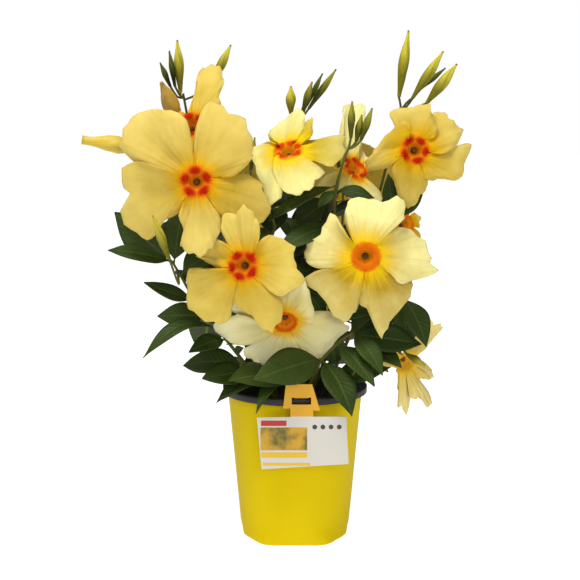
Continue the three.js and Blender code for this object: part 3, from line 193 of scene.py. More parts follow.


# Each bloom's tones, one per lobe, are partly the lobe's own colour and partly painted light and shade
BLOOMS = {
    "bloom_left": open_bloom_at((-87.7, -95, 347.5), (0, -1, 0.05), "golden", [
        petal(0.16, (24, 17), (9, 33), (20, 49), (29, 58), (52, 67), (73, 72), (83, 69), (89, 53),
            (96, 30)),
        petal(0.16, (96, 30), (97, 43), (101, 58), (115, 71), (128, 79), (143, 82), (154, 76), (162, 59),
            (164, 36), (166, 18)),
        petal(0.16, (155, 19), (159, 42), (163, 61), (177, 67), (191, 65), (205, 75), (219, 72), (231, 67),
            (228, 49), (243, 29), (241, 17)),
        petal(0.0, (239, 21), (243, 34), (256, 45), (256, 60), (266, 62), (279, 64), (288, 54), (302, 42),
            (308, 29), (309, 16)),
        petal(0.12, (311, 16), (306, 35), (316, 54), (327, 68), (341, 69), (352, 61), (365, 49), (376, 35),
            (388, 17)),
    ], tones=(0.5, 0.65, 0.5, 0.85, 0.1)),
    "bloom_upper_left": open_bloom_at((-94.4, -45, 397), (0.05, -0.8, 0.6), "golden", [
        petal(0.1, (32, 26), (42, 36), (55, 43), (60, 61), (68, 73), (76, 77), (82, 76), (85, 69), (85, 48),
            (90, 29), (109, 14)),
        lobe_to(140, 20, roll=80, wide=0.4),
        lobe_to(220, 28, roll=60),
        lobe_to(300, 28, roll=60),
        lobe_to(20, 34, roll=70),
    ]),
    "bloom_low_centre": open_bloom_at((-46.4, -100, 273.8), (-0.15, -0.98, 0.1), "golden", [
        petal(0.2, (315, 17), (317, 29), (321, 42), (333, 48), (346, 55), (360, 47), (379, 45), (396, 41),
            (413, 34), (421, 21)),
        petal(-0.22, (55, 19), (61, 32), (73, 45), (82, 50), (92, 51), (98, 46), (110, 49), (120, 40),
            (127, 27), (122, 14)),
        petal(0.45, (120, 14), (132, 28), (142, 39), (155, 46), (169, 51), (173, 40), (182, 29), (194, 18),
            (195, 9)),
        petal(0.2, (203, 10), (192, 29), (184, 50), (192, 55), (203, 58), (214, 66), (227, 61), (244, 61),
            (254, 48), (243, 36), (238, 20)),
        petal(0.2, (247, 16), (240, 27), (259, 36), (277, 45), (289, 59), (297, 63), (310, 53), (317, 43),
            (315, 30), (309, 17)),
    ], tones=(0.7, 0.8, 0.7, 0.55, 0.6)),
    "bloom_cream": open_bloom_at((-9.3, -66, 217.5), (0, -0.9, -0.43), "cream", [
        petal(0.2, (300, 11), (290, 27), (294, 41), (303, 56), (315, 58), (332, 55), (345, 63), (353, 49),
            (363, 37), (363, 24), (339, 11)),
        petal(0.2, (18, 10), (-8, 21), (4, 27), (44, 33), (66, 43), (80, 35), (100, 27), (119, 19),
            (128, 9)),
        petal(0.2, (125, 13), (131, 24), (143, 38), (152, 49), (165, 57), (174, 51), (181, 40), (184, 25),
            (193, 13)),
        petal(0.08, (174, 13), (176, 27), (173, 43), (183, 58), (192, 68), (206, 59), (222, 42), (230, 29),
            (239, 18)),
        petal(0.02, (238, 16), (222, 34), (221, 51), (232, 57), (247, 55), (263, 53), (277, 49), (290, 40),
            (294, 27), (289, 16)),
    ], tones=(0.55, 0.6, 0.5, 0.7, 0.9)),
    "bloom_right": open_bloom_at((63.3, -85, 279.8), (0, -1, 0.03), "golden", [
        petal(0.16, (327, 16), (329, 27), (322, 39), (333, 48), (347, 66), (356, 60), (372, 54), (389, 48),
            (402, 38), (410, 23)),
        petal(0.16, (52, 22), (49, 38), (45, 50), (57, 61), (70, 53), (89, 52), (104, 53), (112, 47),
            (121, 34), (130, 20)),
        petal(0.16, (133, 20), (133, 31), (130, 39), (126, 45), (134, 49), (154, 47), (172, 53), (181, 55),
            (190, 50), (201, 34), (210, 17)),
        petal(0.16, (210, 18), (203, 30), (197, 45), (202, 62), (218, 54), (236, 58), (252, 62), (259, 54),
            (263, 41), (269, 28), (268, 17)),
        petal(0.16, (270, 15), (270, 30), (261, 42), (275, 54), (280, 72), (285, 73), (291, 64), (307, 57),
            (320, 55), (331, 47), (327, 34), (325, 18)),
    ], tones=(0.85, 1.0, 0.6, 0.1, 0.15)),
    "bloom_top_right": open_bloom_at((110.1, -40, 373.6), (0, -1, 0.08), "golden", [
        petal(0.2, (293, 14), (292, 31), (311, 35), (329, 50), (346, 48), (364, 53), (367, 49), (359, 38),
            (348, 25), (352, 12)),
        petal(0.2, (355, 12), (352, 26), (366, 38), (385, 48), (402, 44), (416, 43), (425, 36), (411, 29),
            (404, 15)),
        petal(0.2, (50, 14), (33, 22), (47, 30), (66, 37), (75, 44), (96, 40), (121, 42), (127, 33),
            (130, 19), (124, 12)),
        petal(0.2, (131, 13), (101, 21), (114, 29), (147, 28), (177, 36), (191, 44), (203, 45), (212, 31),
            (209, 22), (198, 11)),
        petal(0.2, (207, 12), (195, 18), (221, 28), (243, 37), (257, 51), (266, 52), (276, 45), (289, 36),
            (296, 26), (292, 14)),
    ], tones=(0.45, 0.5, 0.6, 0.5, 0.5)),
    "bloom_top_centre": open_bloom_at((-6.6, -45, 373.8), (-0.1, -0.55, 0.8), "cream", [
        petal(0.2, (322, 14), (330, 28), (336, 47), (359, 49), (379, 53), (407, 65), (413, 49), (419, 32),
            (424, 17)),
        petal(-0.2, (39, 11), (39, 20), (45, 29), (65, 41), (74, 39), (83, 32), (80, 23), (88, 17)),
        petal(-0.2, (69, 10), (66, 21), (71, 36), (85, 50), (98, 47), (114, 40), (129, 35), (134, 26),
            (127, 19)),
        petal(0.35, (170, 10), (151, 30), (157, 43), (198, 33), (239, 39), (258, 56), (269, 48), (262, 32),
            (217, 16)),
        petal(0.2, (230, 17), (245, 27), (264, 40), (278, 50), (291, 54), (306, 50), (325, 44), (339, 32),
            (356, 18), (357, 8)),
    ], tones=(0.15, 0.0, 0.85, 0.7, 0.8)),
    "bloom_centre_right": open_bloom_at((56.9, -15, 355.2), (0.45, -0.6, 0.66), "cream", [
        petal(0.0, (270, 8), (340, 14), (389, 24), (412, 34), (419, 21)),
        petal(-0.3, (89, 10), (58, 33), (64, 62), (71, 66), (82, 64), (84, 50), (92, 32), (96, 14)),
        petal(0.2, (165, 14), (181, 25), (186, 41), (198, 49), (209, 40), (221, 28), (212, 11)),
        petal(0.2, (216, 17), (224, 29), (238, 36), (265, 34), (294, 38), (305, 29), (306, 18), (296, 7)),
    ], tones=(0.8, 1.0, 0.4, 0.8)),
    "bloom_far_right": open_bloom_at(
        (105.5, 8, 302), (0.5, -0.75, 0.4), "golden", star(80, 25, 24, 30, 26, 22),
    ),
    "bloom_low_right": open_bloom_at((106, -14, 169), (0.3, -0.88, -0.36), "golden", [
        petal(0.1, (249, 12), (263, 26), (273, 39), (272, 51), (277, 53), (284, 70), (288, 61), (292, 53)),
        petal(0.1, (286, 44), (300, 56), (302, 67), (307, 69), (310, 57), (310, 36)),
        petal(0.1, (311, 30), (320, 29), (327, 38), (332, 39), (342, 28), (353, 18)),
        petal(0.1, (29, 12), (42, 25), (46, 37), (48, 48), (57, 48), (69, 46), (85, 43), (98, 30)),
        lobe_to(160, 22, roll=80),
    ]),
    "bloom_back_left": open_bloom_at(
        (-62, 100, 318), (-0.25, 0.95, 0.25), "golden", star(90, 62, 58, 60, 48, 58),
    ),
    "bloom_back_right": open_bloom_at(
        (66, 98, 326), (0.2, 0.95, 0.3), "golden", star(80, 58, 62, 58, 60, 60),
    ),
    "bloom_back_low": open_bloom_at(
        (14, 103, 232), (0.1, 0.98, -0.1), "cream", star(96, 54, 52, 56, 54, 52),
    ),
}

FURLED = {
    "closed_flower_left": closed_at(
        (-150, -33, 376), (-196, -40, 383), "golden", (0.4, 0.95, 1, 0.72, 0.45, 0.5),
    ),
    "faded_flower_left": closed_at(
        (-110, -22, 403), (-122, -44, 435), "olive", (0.4, 0.95, 1, 0.8, 0.5, 0.12),
    ),
}

SHOOTS = {
    "stem_low_left": stem_through(
        path=[(-16, -16), (-42, -30, 165), (-70, -42, 204), (-93, -39, 233), (-106, -41, 256),
            (-114, -45, 271)],
        leaves=[
            leaf_at(1, (-166, -46, 317), 0.26, (-0.3, -0.9, 0.3)),
            leaf_at(0.99, (-170, -70, 284), 0.17, (0, -0.7, 0.7), 0.05),
            leaf_at(0.96, (-104, -28, 322), 0.26, (-0.1, -0.95, -0.1)),
            leaf_at(0.82, (-74, -30, 282), 0.3, (0, -0.95, 0.2)),
            leaf_at(0.6, (-139, -56, 253), 0.15, (0, -0.8, 0.6), -0.03),
            leaf_at(0.5, (-127, -60, 222), 0.26, (0, -0.9, 0.4), 0.02),
            leaf_at(0.42, (-138, -82, 187), 0.12, (0, -0.45, 0.9), 0.24),
            leaf_at(0.3, (-48, -46, 190), 0.3, (0, -0.95, 0.3)),
            leaf_at(0.36, (-98, -64, 189), 0.24, (-0.2, -0.8, 0.6)),
            leaf_at(0.2, (-86, -68, 165), 0.24, (-0.1, -0.8, 0.6), 0),
            leaf_at(0.1, (-73, -62, 141), 0.17, (-0.3, -0.6, 0.7), 0.2),
        ],
        buds=[bud_at(0.88, (-106, -84, 258), (-111, -104, 279), (-124, -119, 320), 1.2)],
    ),
    "stem_upper_left": stem_through(
        path=[(-20, 2), (-50, 0, 190), (-70, -2, 255), (-86, 6, 320), (-99, 8, 385), (-105, -8, 425)],
        leaves=[leaf_at(0.5, (-132, -30, 300), 0.2, (-0.2, -0.6, 0.7))],
        stalks=[
            stalk_to(0.62, "bloom_left"),
            stalk_to(0.7, "bloom_upper_left"),
            stalk_to(0.72, "closed_flower_left"),
            stalk_to(0.86, "faded_flower_left", (-112, 0, 400)),
        ],
        buds=[
            bud_at(0.98, (-106, -10, 425), (-107, -13, 426), (-109, -20, 474), 1.4),
            bud_at(0.98, (-108, -12, 424), (-112, -16, 432), (-116, -26, 464), 0.8),
            bud_at(0.98, (-110, -14, 422), (-116, -20, 432), (-124, -32, 453), 0.8),
            bud_at(0.97, (-94, 10, 424), (-80, 16, 434), (-61, 18, 471), 1.3),
        ],
    ),
    "stem_front_left": stem_through(
        path=[(-4, -22), (-14, -34, 175), (-26, -34, 215), (-30, -34, 252), (-24, -40, 284),
            (-18, -52, 306)],
        leaves=[
            leaf_at(0.1, (-61, -92, 168), 0.2, (-0.2, -0.8, 0.6)),
            leaf_at(0.1, (-35, -92, 138), 0.1, (-0.3, -0.7, 0.6), 0.16),
            leaf_at(0.56, (-79, -28, 240), 0.22, (0, -0.6, 0.8)),
        ],
        stalks=[
            stalk_to(0.58, "bloom_low_centre"),
            stalk_to(0.62, "bloom_cream", (-18, -26, 250)),
        ],
        buds=[bud_at(0.98, (-20, -56, 310), (-22, -60, 313), (-27, -74, 324), 0.8)],
    ),
    "stem_top_centre": stem_through(
        path=[(0, 8), (-6, 4, 200), (-2, 4, 270), (4, 10, 330), (7, 12, 378), (6, 6, 404)],
        leaves=[leaf_at(0.5, (30, -14, 324), 0.3, (0, -0.9, 0.2))],
        stalks=[stalk_to(0.66, "bloom_top_centre")],
        buds=[
            bud_at(0.98, (0, 2, 406), (-4, -4, 406), (-4, -8, 432), 1.4),
            bud_at(0.98, (10, 2, 408), (7, -2, 409), (16, -8, 436), 1),
            bud_at(0.98, (14, 4, 408), (11, 4, 414), (26, 2, 444), 0.75),
            bud_at(0.98, (16, 6, 406), (13, 9, 411), (39, 8, 448), 1),
        ],
    ),
    "stem_centre": stem_through(
        path=[(14, -18), (24, -30, 180), (34, -36, 235), (37, -42, 290), (36, -50, 330), (43, -60, 362),
            (48, -63, 376)],
        leaves=[
            leaf_at(0.72, (-24, -68, 310), 0.13, (0, -0.5, 0.86)),
            leaf_at(0.7, (20, -62, 322), 0.22, (-0.3, -0.9, 0.2)),
            leaf_at(0.7, (72, -52, 330), 0.2, (0.2, -0.8, 0.5)),
        ],
        stalks=[stalk_to(0.78, "bloom_centre_right", (36, -24, 322))],
        buds=[
            bud_at(0.99, (49, -63, 380), (50, -63, 385), (51, -65, 418)),
            bud_at(0.99, (52, -62, 378), (55, -61, 382), (60, -60, 406)),
            bud_at(0.99, (54, -64, 378), (59, -64, 383), (69, -66, 412)),
        ],
    ),
    "stem_right": stem_through(
        path=[(24, -4), (44, -10, 175), (60, -14, 215), (72, -14, 252), (84, -14, 288), (93, -16, 312)],
        leaves=[
            leaf_at(0.3, (84, -22, 224), 0.3, (0, -0.95, 0.3)),
            leaf_at(0.16, (30, -24, 205), 0.3, (0, -0.95, 0.3)),
            leaf_at(0.97, (122, -12, 338), 0.24, (0.2, -0.8, 0.5)),
            leaf_at(0.95, (88, -12, 350), 0.2, (0.1, -0.9, 0.3)),
        ],
        stalks=[stalk_to(0.6, "bloom_right")],
    ),
    "stem_upper_right": stem_through(
        path=[(16, 16), (38, 18, 190), (62, 18, 260), (80, 14, 325), (92, 4, 378), (99, -8, 410)],
        stalks=[
            stalk_to(0.72, "bloom_top_right"),
            stalk_to(0.5, "bloom_far_right"),
        ],
        buds=[
            bud_at(0.98, (99, -10, 413), (97, -12, 422), (105, -16, 483), 1.45),
            bud_at(0.98, (104, -9, 416), (110, -10, 421), (138, -12, 464), 1.4),
            bud_at(0.98, (106, -3, 414), (116, 2, 428), (142, 4, 449), 0.8),
            bud_at(0.98, (106, -14, 410), (122, -22, 416), (149, -28, 452), 1.55),
        ],
    ),
    "stem_low_right": stem_through(
        path=[(30, -18), (56, -34, 165), (80, -34, 196), (96, -34, 222), (101, -36, 238)],
        leaves=[
            leaf_at(0.98, (121, -60, 193), 0.24, (0.4, -0.85, 0.3)),
            leaf_at(0.86, (106, -36, 188), 0.3, (0.1, -0.9, 0.3)),
            leaf_at(0.4, (98, -66, 175), 0.24, (0.2, -0.7, 0.7)),
        ],
        stalks=[stalk_to(0.62, "bloom_low_right", (84, 10, 206))],
        buds=[bud_at(0.6, (100, -44, 190), (104, -46, 184), (121, -50, 174), 1.1)],
    ),
    "stem_front_right": stem_through(
        path=[(8, -30), (16, -42, 160), (26, -46, 180), (42, -50, 197), (54, -53, 206)],
        leaves=[
            leaf_at(0.5, (-38, -98, 170), 0.22, (0.2, -0.85, 0.5), 0.05),
            leaf_at(0.92, (118, -46, 193), 0.22, (0, -0.8, 0.6), 0.03),
            leaf_at(0.48, (51, -96, 136), 0.22, (0.3, -0.7, 0.7)),
            leaf_at(0.98, (79, -88, 172), 0.2, (0.3, -0.8, 0.5)),
            leaf_at(0.7, (72, -88, 162), 0.18, (0.2, -0.8, 0.6)),
        ],
    ),
    "stem_back_left": stem_through(
        path=[(-18, 22), (-38, 42, 200), (-48, 54, 268), (-44, 56, 340)],
        stalks=[stalk_to(0.74, "bloom_back_left")],
        buds=[bud_at(0.98, (-44, 58, 344), (-44, 62, 350), (-40, 70, 382))],
    ),
    "stem_back_right": stem_through(
        path=[(14, 30), (34, 48, 200), (46, 54, 280), (48, 52, 340)],
        stalks=[stalk_to(0.9, "bloom_back_right")],
        buds=[bud_at(0.98, (47, 50, 344), (44, 50, 352), (38, 54, 384))],
    ),
    "stem_back_low": stem_through(
        path=[(-2, 36), (-4, 54, 170), (4, 58, 216), (8, 54, 262)],
        stalks=[stalk_to(0.62, "bloom_back_low")],
    ),
}


# Forms of the plant: blooms, leaves, and where they all sit
def draws(seed):
    """A repeatable draw between 0 and 1, the same as the model's."""
    state = seed
    while True:
        state = state * 16807 % 2147483647
        yield state / 2147483647


def petal_points(bloom, lobe, s, u, sector):
    """Points on a petal: straight out from the mouth to its rim, then bent back, tilted and waved."""
    phase = lobe["phase"]
    first, last = lobe["rim"][0][0], lobe["rim"][-1][0]
    half = min((last - first) / 2, LOBE["root_turn"])
    first, last = sector or ((first + last) / 2 - half, (first + last) / 2 + half)
    turn = np.radians((first + last) / 2 + (last - first) / 2 * u)
    root = np.stack([np.cos(turn), np.sin(turn)], axis=-1) * (FUNNEL["mouth"] + 0.2)
    rim = np.array([lobe["edge"].at((w + 1) / 2) for w in np.ravel(u)])[:, :2].reshape(*np.shape(u), 2)
    place = root + (rim - root) * s[..., None]
    if sector:
        uneven = 0.6 + 0.5 * np.sin(5 * u + 2 * phase)
        frill = 0.034 * np.sin(13 * u + 3 * phase) + 0.032 * np.sin(31 * u + phase)
        place = place * (1 + uneven * frill * smooth(s, 0.6, 1))[..., None]
    far = np.hypot(place[..., 0], place[..., 1])
    ahead = -0.6 - lobe["back"] * far * far / 60 - LOBE["overlap"] * u * s
    ahead = ahead + 1.5 * s * s * np.sin(2.6 * u + phase)
    if sector:
        ahead = ahead + folds(s, u, phase)
    points = bloom["at"] + place[..., :1] * bloom["right"] + place[..., 1:] * bloom["up"]
    return points + ahead[..., None] * bloom["front"], float(np.hypot(*lobe["edge"].at(0.5)[:2]))


def folds(s, u, phase):
    """Soft folds along a petal, and small ruffles that grow towards its rim."""
    along = 2.1 * smooth(s, 0, 0.4) * np.cos(4.6 * u + 0.7 * phase + 0.9 * s)
    middle = 0.15 * math.sin(phase)
    crease = -1.9 * np.exp(-((u - middle) ** 2) / 0.02) * smooth(s, 0.05, 0.3) * (1 - smooth(s, 0.55, 0.95))
    rim = smooth(s, 0.55, 1)
    ruffles = 1.7 * rim * np.sin(9 * u + 2 * phase) + 0.9 * rim * rim * np.sin(21 * u + 5 * phase)
    curl = -3.6 * smooth(s, 0.62, 1) ** 1.5 * smooth(u, 0.1, 1) - 1.6 * smooth(s, 0.8, 1) ** 2
    return along + crease + ruffles + curl


def lobe_points(bloom, lobe, s, u, sector=None):
    """Points on a lobe: s runs from root to end, u from edge to edge. One with a sector is frilled too."""
    if "rim" in lobe:
        return petal_points(bloom, lobe, s, u, sector)
    mouth, root, phase = FUNNEL["mouth"], LOBE["root_half"], lobe["phase"]
    long = s * (1 - LOBE["round"] * u * u * s + LOBE["skew"] * u * s)
    start, bend = math.radians(LOBE["lift"]), math.radians(lobe["roll"])
    lean = start + bend * long
    sines = (math.cos(start) - np.cos(lean)) / bend
    cosines = (np.sin(lean) - math.sin(start)) / bend
    whole = (math.sin(start + bend) - math.sin(start)) / bend
    length = (lobe["reach"] - mouth) / max(whole, 0.45)
    full = lobe["wide"] * length
    half = root + (full - root) * np.sin(np.pi / 2 * np.minimum(s / 0.75, 1))
    across = u * (half - 0.2 * full * smooth(s, 0.7, 1))
    offset = LOBE["tilt"] * u * s * full + 2 * s * s * np.sin(2.6 * u + phase)
    if sector:
        frill = s * s * np.abs(u) ** 3 * np.sin(9 * s + 3 * u + phase)
        offset = offset + frill + s**6 * np.sin(6 * u + 2 * phase)
    out = mouth - 0.2 + length * cosines + offset * np.sin(lean)
    ahead = -0.6 - length * sines + offset * np.cos(lean)
    turn = math.radians(lobe["turn"])
    radial = bloom["right"] * math.cos(turn) + bloom["up"] * math.sin(turn)
    sideways = bloom["up"] * math.cos(turn) - bloom["right"] * math.sin(turn)
    spread = out[..., None] * radial + across[..., None] * sideways
    return bloom["at"] + spread + ahead[..., None] * bloom["front"], length


def stem_radius(t):
    return STEM["bottom_radius"] + (STEM["top_radius"] - STEM["bottom_radius"]) * t


def leaf_outline(v):
    blade = np.maximum((v - 0.1) / 0.9, 0)
    return np.maximum(np.sin(np.pi * blade**0.82), 0) ** 0.95


def leaf_points(leaf, v, u, wave=0.0):
    """Points on a leaf: v runs from stem to tip, u from one edge to the other."""
    axis = leaf["tip"] - leaf["root"]
    length = float(np.linalg.norm(axis))
    along = axis / length
    side = unit(np.cross(leaf["face"], along))
    normal = np.cross(along, side)
    half = np.maximum(leaf["wide"] * length * leaf_outline(v), np.where(v < 0.5, 0.8, 0.35))
    raised = leaf["arch"] * length * np.sin(np.pi * v) + LEAF["fold"] * half * np.abs(u)
    raised = raised + wave * length * np.sin(9 * v + 2 * u + leaf["tone"] * 9) * u * u * smooth(v, 0.1, 0.4)
    return leaf["root"] + v[..., None] * axis + (half * u)[..., None] * side + raised[..., None] * normal


# Where each form is tested for room, in the steps that the model adds up
LEAF_SAMPLES = crossed(np.cumsum([0.2] + [0.1] * 8), np.arange(-1, 1.01, 0.5))
LOBE_SAMPLES = crossed(np.arange(0, 1.01, 0.125), np.arange(-1, 1.01, 0.25))


def bloom_samples(bloom):
    samples = [lobe_points(bloom, each, *LOBE_SAMPLES)[0].reshape(-1, 3) for each in bloom["lobes"]]
    tube = [bloom["at"] - bloom["front"] * back for back in range(0, FUNNEL["length"] + 1, ROOM_STEP)]
    return np.vstack([*samples, tube])


def leaf_samples(leaf):
    return leaf_points(leaf, *LEAF_SAMPLES).reshape(-1, 3)


def line_samples(piece, step, count):
    steps = np.cumsum([0] + [step] * count)
    return piece["foot"] + (piece["tip"] - piece["foot"]) * steps[:, None]


class Room:
    """What already takes up room on the plant, and whose it is."""

    def __init__(self):
        self.points = np.empty((0, 3))
        self.owners = np.empty(0, int)

    def take(self, points, owner):
        self.points = np.vstack([self.points, points])
        self.owners = np.concatenate([self.owners, np.full(len(points), owner)])

    def is_free(self, samples, owner):
        x, y, z = samples.T
        share = np.clip((z - SOIL["top"]) / (FOLIAGE["top"] - SOIL["top"]), 0, 1)
        widest = FOLIAGE["low"] + (FOLIAGE["wide"] - FOLIAGE["low"]) * np.sin(np.pi * share**0.8)
        by_label = (y < LABEL_ROOM["front"]) & (np.abs(x - LABEL_ROOM["middle"]) < LABEL_ROOM["half"])
        taken = (z < RIM_TOP + RIM_ROOM) & (np.hypot(x, y) < RIM["radius"] + RIM_ROOM)
        taken |= (z < LABEL_ROOM["top"]) & by_label
        taken |= (z < FOLIAGE["bottom"]) | (z > FOLIAGE["top"]) | (np.hypot(x, 1.1 * y) > widest)
        low, high = samples.min(axis=0) - LEAF_ROOM, samples.max(axis=0) + LEAF_ROOM
        near = np.all((self.points > low) & (self.points < high), axis=1)
        room = np.where(self.owners[near] == owner, OWN_LEAF_ROOM, LEAF_ROOM)
        apart = ((samples[:, None, :] - self.points[near][None]) ** 2).sum(axis=2)
        return not taken.any() and bool(np.all(apart > room**2))


def paired_leaves(owner, stem, random, room):
    """Opposite pairs of leaves, each pair turned a quarter from the last, wherever there is room."""
    leaves = []
    nodes = math.floor(stem.length() / LEAF["spacing"] + 0.5)
    for k in range(nodes):
        t = 0.1 + 0.9 * k / nodes
        root, along = stem.at(t), stem.heading(t)
        first = math.atan2(root[1], root[0]) + k * math.pi / 2
        for half in (0, math.pi):
            for _ in range(LEAF["tries"]):
                turn = first + half + (next(random) - 0.5) * 1.5
                rise = 0.05 + 0.5 * next(random) if root[2] < LEAF["low"] else 0.4 - 1.1 * next(random)
                length = LEAF["shortest"] + (LEAF["longest"] - LEAF["shortest"]) * next(random)
                wide = 0.19 + 0.05 * next(random)
                flat = vec((math.cos(turn), math.sin(turn), 0))
                away = unit(flat - along * flat.dot(along))
                tip = root + away * length * math.cos(rise) + UP * length * math.sin(rise)
                outward = vec((0, -1 if tip[1] < 10 else 1, 0))
                face = UP + away * (0.4 + 0.5 * next(random)) + outward * (0.3 + 0.9 * next(random))
                leaf = dict(root=root, tip=tip, wide=wide, face=face, arch=LEAF["arch"])
                leaf["tone"] = 0.5 * wide + rise % 0.2
                samples = leaf_samples(leaf)
                if room.is_free(samples, owner):
                    leaves.append(leaf)
                    room.take(samples, owner)
                    break
    return leaves


def eased_turn(start, bud):
    """Where a bud's stalk passes; where that would kink, a place behind the bud's foot instead."""
    by, foot, tip = bud["by"], bud["foot"], bud["tip"]
    kink = max(1 - unit(by - start).dot(unit(foot - by)), 1 - unit(foot - by).dot(unit(tip - foot)))
    behind = foot - unit(tip - foot) * 0.4 * np.linalg.norm(foot - start)
    return by + (behind - by) * float(smooth(kink, 0.25, 0.5))


def grow():
    """Leads every stalk to its flower or bud, then adds leaves where the model's rules leave room."""
    room, feet = Room(), {}
    owners = {name: k for k, name in enumerate([*BLOOMS, *FURLED, *SHOOTS])}
    for name, bloom in BLOOMS.items():
        feet[name] = (bloom["at"] - bloom["front"] * (FUNNEL["length"] + FIT), -bloom["front"])
        room.take(bloom_samples(bloom), owners[name])
    for name, flower in FURLED.items():
        back = unit(flower["foot"] - flower["tip"])
        feet[name] = (flower["foot"] + back * FIT, back)
        room.take(line_samples(flower, 0.1, 10), owners[name])
    for name, shoot in SHOOTS.items():
        owner, stem = owners[name], shoot["stem"]
        for k, leaf in enumerate(shoot["leaves"], len(name)):
            leaf.update(root=stem.at(leaf["start"]), tone=0.62 * k % 0.5)
            room.take(leaf_samples(leaf), owner)
        for stalk in shoot["stalks"]:
            foot, back = feet[stalk["flower"]]
            start = stem.at(stalk["start"])
            turn = stalk["by"] or start + (foot + back * STALK["straight"] - start) * STALK["turn_at"]
            stalk.update(foot=foot, back=back, path=Path([start, turn, foot + back * STALK["cup_length"]]))
        for bud in shoot["buds"]:
            start = stem.at(bud["start"])
            bud["path"] = Path([start, eased_turn(start, bud), bud["foot"]])
            room.take(line_samples(bud, 0.15, 6), owner)
        for line in (stem, *(each["path"] for each in (*shoot["stalks"], *shoot["buds"]))):
            room.take(line.spread(math.floor(line.length() / ROOM_STEP + 0.5)), owner)
    for k, (name, shoot) in enumerate(SHOOTS.items(), 1):
        shoot["leaves"] += paired_leaves(owners[name], shoot["stem"], draws(LEAF_SEED * k), room)


# Making meshes
def placed(name, data):
    """A new object in the scene for a mesh, curve, lamp or camera."""
    made = bpy.data.objects.new(name, data)
    bpy.context.scene.collection.objects.link(made)
    return made


class Sheet:
    """Gathers the faces of a finished piece, with where each point lies on its petal or leaf."""

    def __init__(self):
        self.points, self.places, self.tones, self.faces = [], [], [], []
        self.count = 0

    def add_points(self, points, places=(0, 0, 0), tone=0.5):
        points = np.reshape(points, (-1, 3))
        self.points.append(points)
        self.places.append(np.broadcast_to(np.reshape(places, (-1, 3)), points.shape))
        self.tones.append(np.full(len(points), tone))
        self.count += len(points)
        return np.arange(self.count - len(points), self.count)

    def add_faces(self, faces):
        self.faces += np.asarray(faces).tolist()

    def weave(self, rows):
        """Faces between rows of point numbers: four corners each, one row to the next."""
        rows = np.asarray(rows)
        corners = (rows[:-1, :-1], rows[1:, :-1], rows[1:, 1:], rows[:-1, 1:])
        self.add_faces(np.stack(corners, axis=-1).reshape(-1, 4))

    def grid(self, points, places):
        self.weave(self.add_points(points, places).reshape(points.shape[:2]))

    def tube(self, rings, places=None):
        """A closed tube through rings of points, its two ends filled."""
        rings = np.asarray(rings)
        places = np.zeros_like(rings) if places is None else places
        rows = self.add_points(rings, places).reshape(rings.shape[:2])
        self.weave(np.hstack([rows, rows[:, :1]]))
        for end, order in ((0, -1), (-1, 1)):
            middle = self.add_points(rings[end].mean(axis=0), places[end][0])[0]
            self.add_faces([(middle, a, b)[::order] for a, b in zip(rows[end], np.roll(rows[end], -1))])

    def object(self, name, *materials):
        mesh = bpy.data.meshes.new(name)
        mesh.from_pydata((np.vstack(self.points) / 1000).tolist(), [], self.faces)
        place = mesh.attributes.new("place", "FLOAT_VECTOR", "POINT")
        place.data.foreach_set("vector", np.vstack(self.places).astype(np.float32).ravel())
        tone = mesh.attributes.new("tone", "FLOAT", "POINT")
        tone.data.foreach_set("value", np.concatenate(self.tones).astype(np.float32))
        mesh.polygons.foreach_set("use_smooth", [True] * len(self.faces))
        for material in materials:
            mesh.materials.append(material)
        return placed(name, mesh)


def tube_object(name, rings, material):
    sheet = Sheet()
    sheet.tube(rings)
    return sheet.object(name, material)


def settled(piece):
    """The piece with its modifiers turned into plain mesh."""
    graph = bpy.context.evaluated_depsgraph_get()
    mesh = bpy.data.meshes.new_from_object(piece.evaluated_get(graph))
    name = mesh.name = piece.name
    bpy.data.objects.remove(piece)
    return placed(name, mesh)


def thickened(piece, underside=0):
    solidify = piece.modifiers.new("thickness", "SOLIDIFY")
    solidify.thickness = BLADE / 1000
    solidify.offset = -1
    solidify.use_rim = True
    solidify.material_offset = solidify.material_offset_rim = underside
    return settled(piece)


def joined(pieces, name):
    with bpy.context.temp_override(active_object=pieces[0], selected_editable_objects=pieces):
        bpy.ops.object.join()
    pieces[0].name = pieces[0].data.name = name
    return pieces[0]


def finished(piece, node):
    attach(piece, "root")
    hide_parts(node)


# Materials
class Value:
    """What a node puts out, to reckon with as with a number."""

    def __init__(self, nodes, socket):
        self.nodes, self.socket = nodes, socket

    def __add__(self, other):
        return self.nodes.math("ADD", self, other)

    def __sub__(self, other):
        return self.nodes.math("SUBTRACT", self, other)

    def __rsub__(self, other):
        return self.nodes.math("SUBTRACT", other, self)

    def __mul__(self, other):
        return self.nodes.math("MULTIPLY", self, other)

    def __truediv__(self, other):
        return self.nodes.math("DIVIDE", self, other)

    def __pow__(self, other):
        return self.nodes.math("POWER", self, other)

    def __abs__(self):
        return self.nodes.math("ABSOLUTE", self)


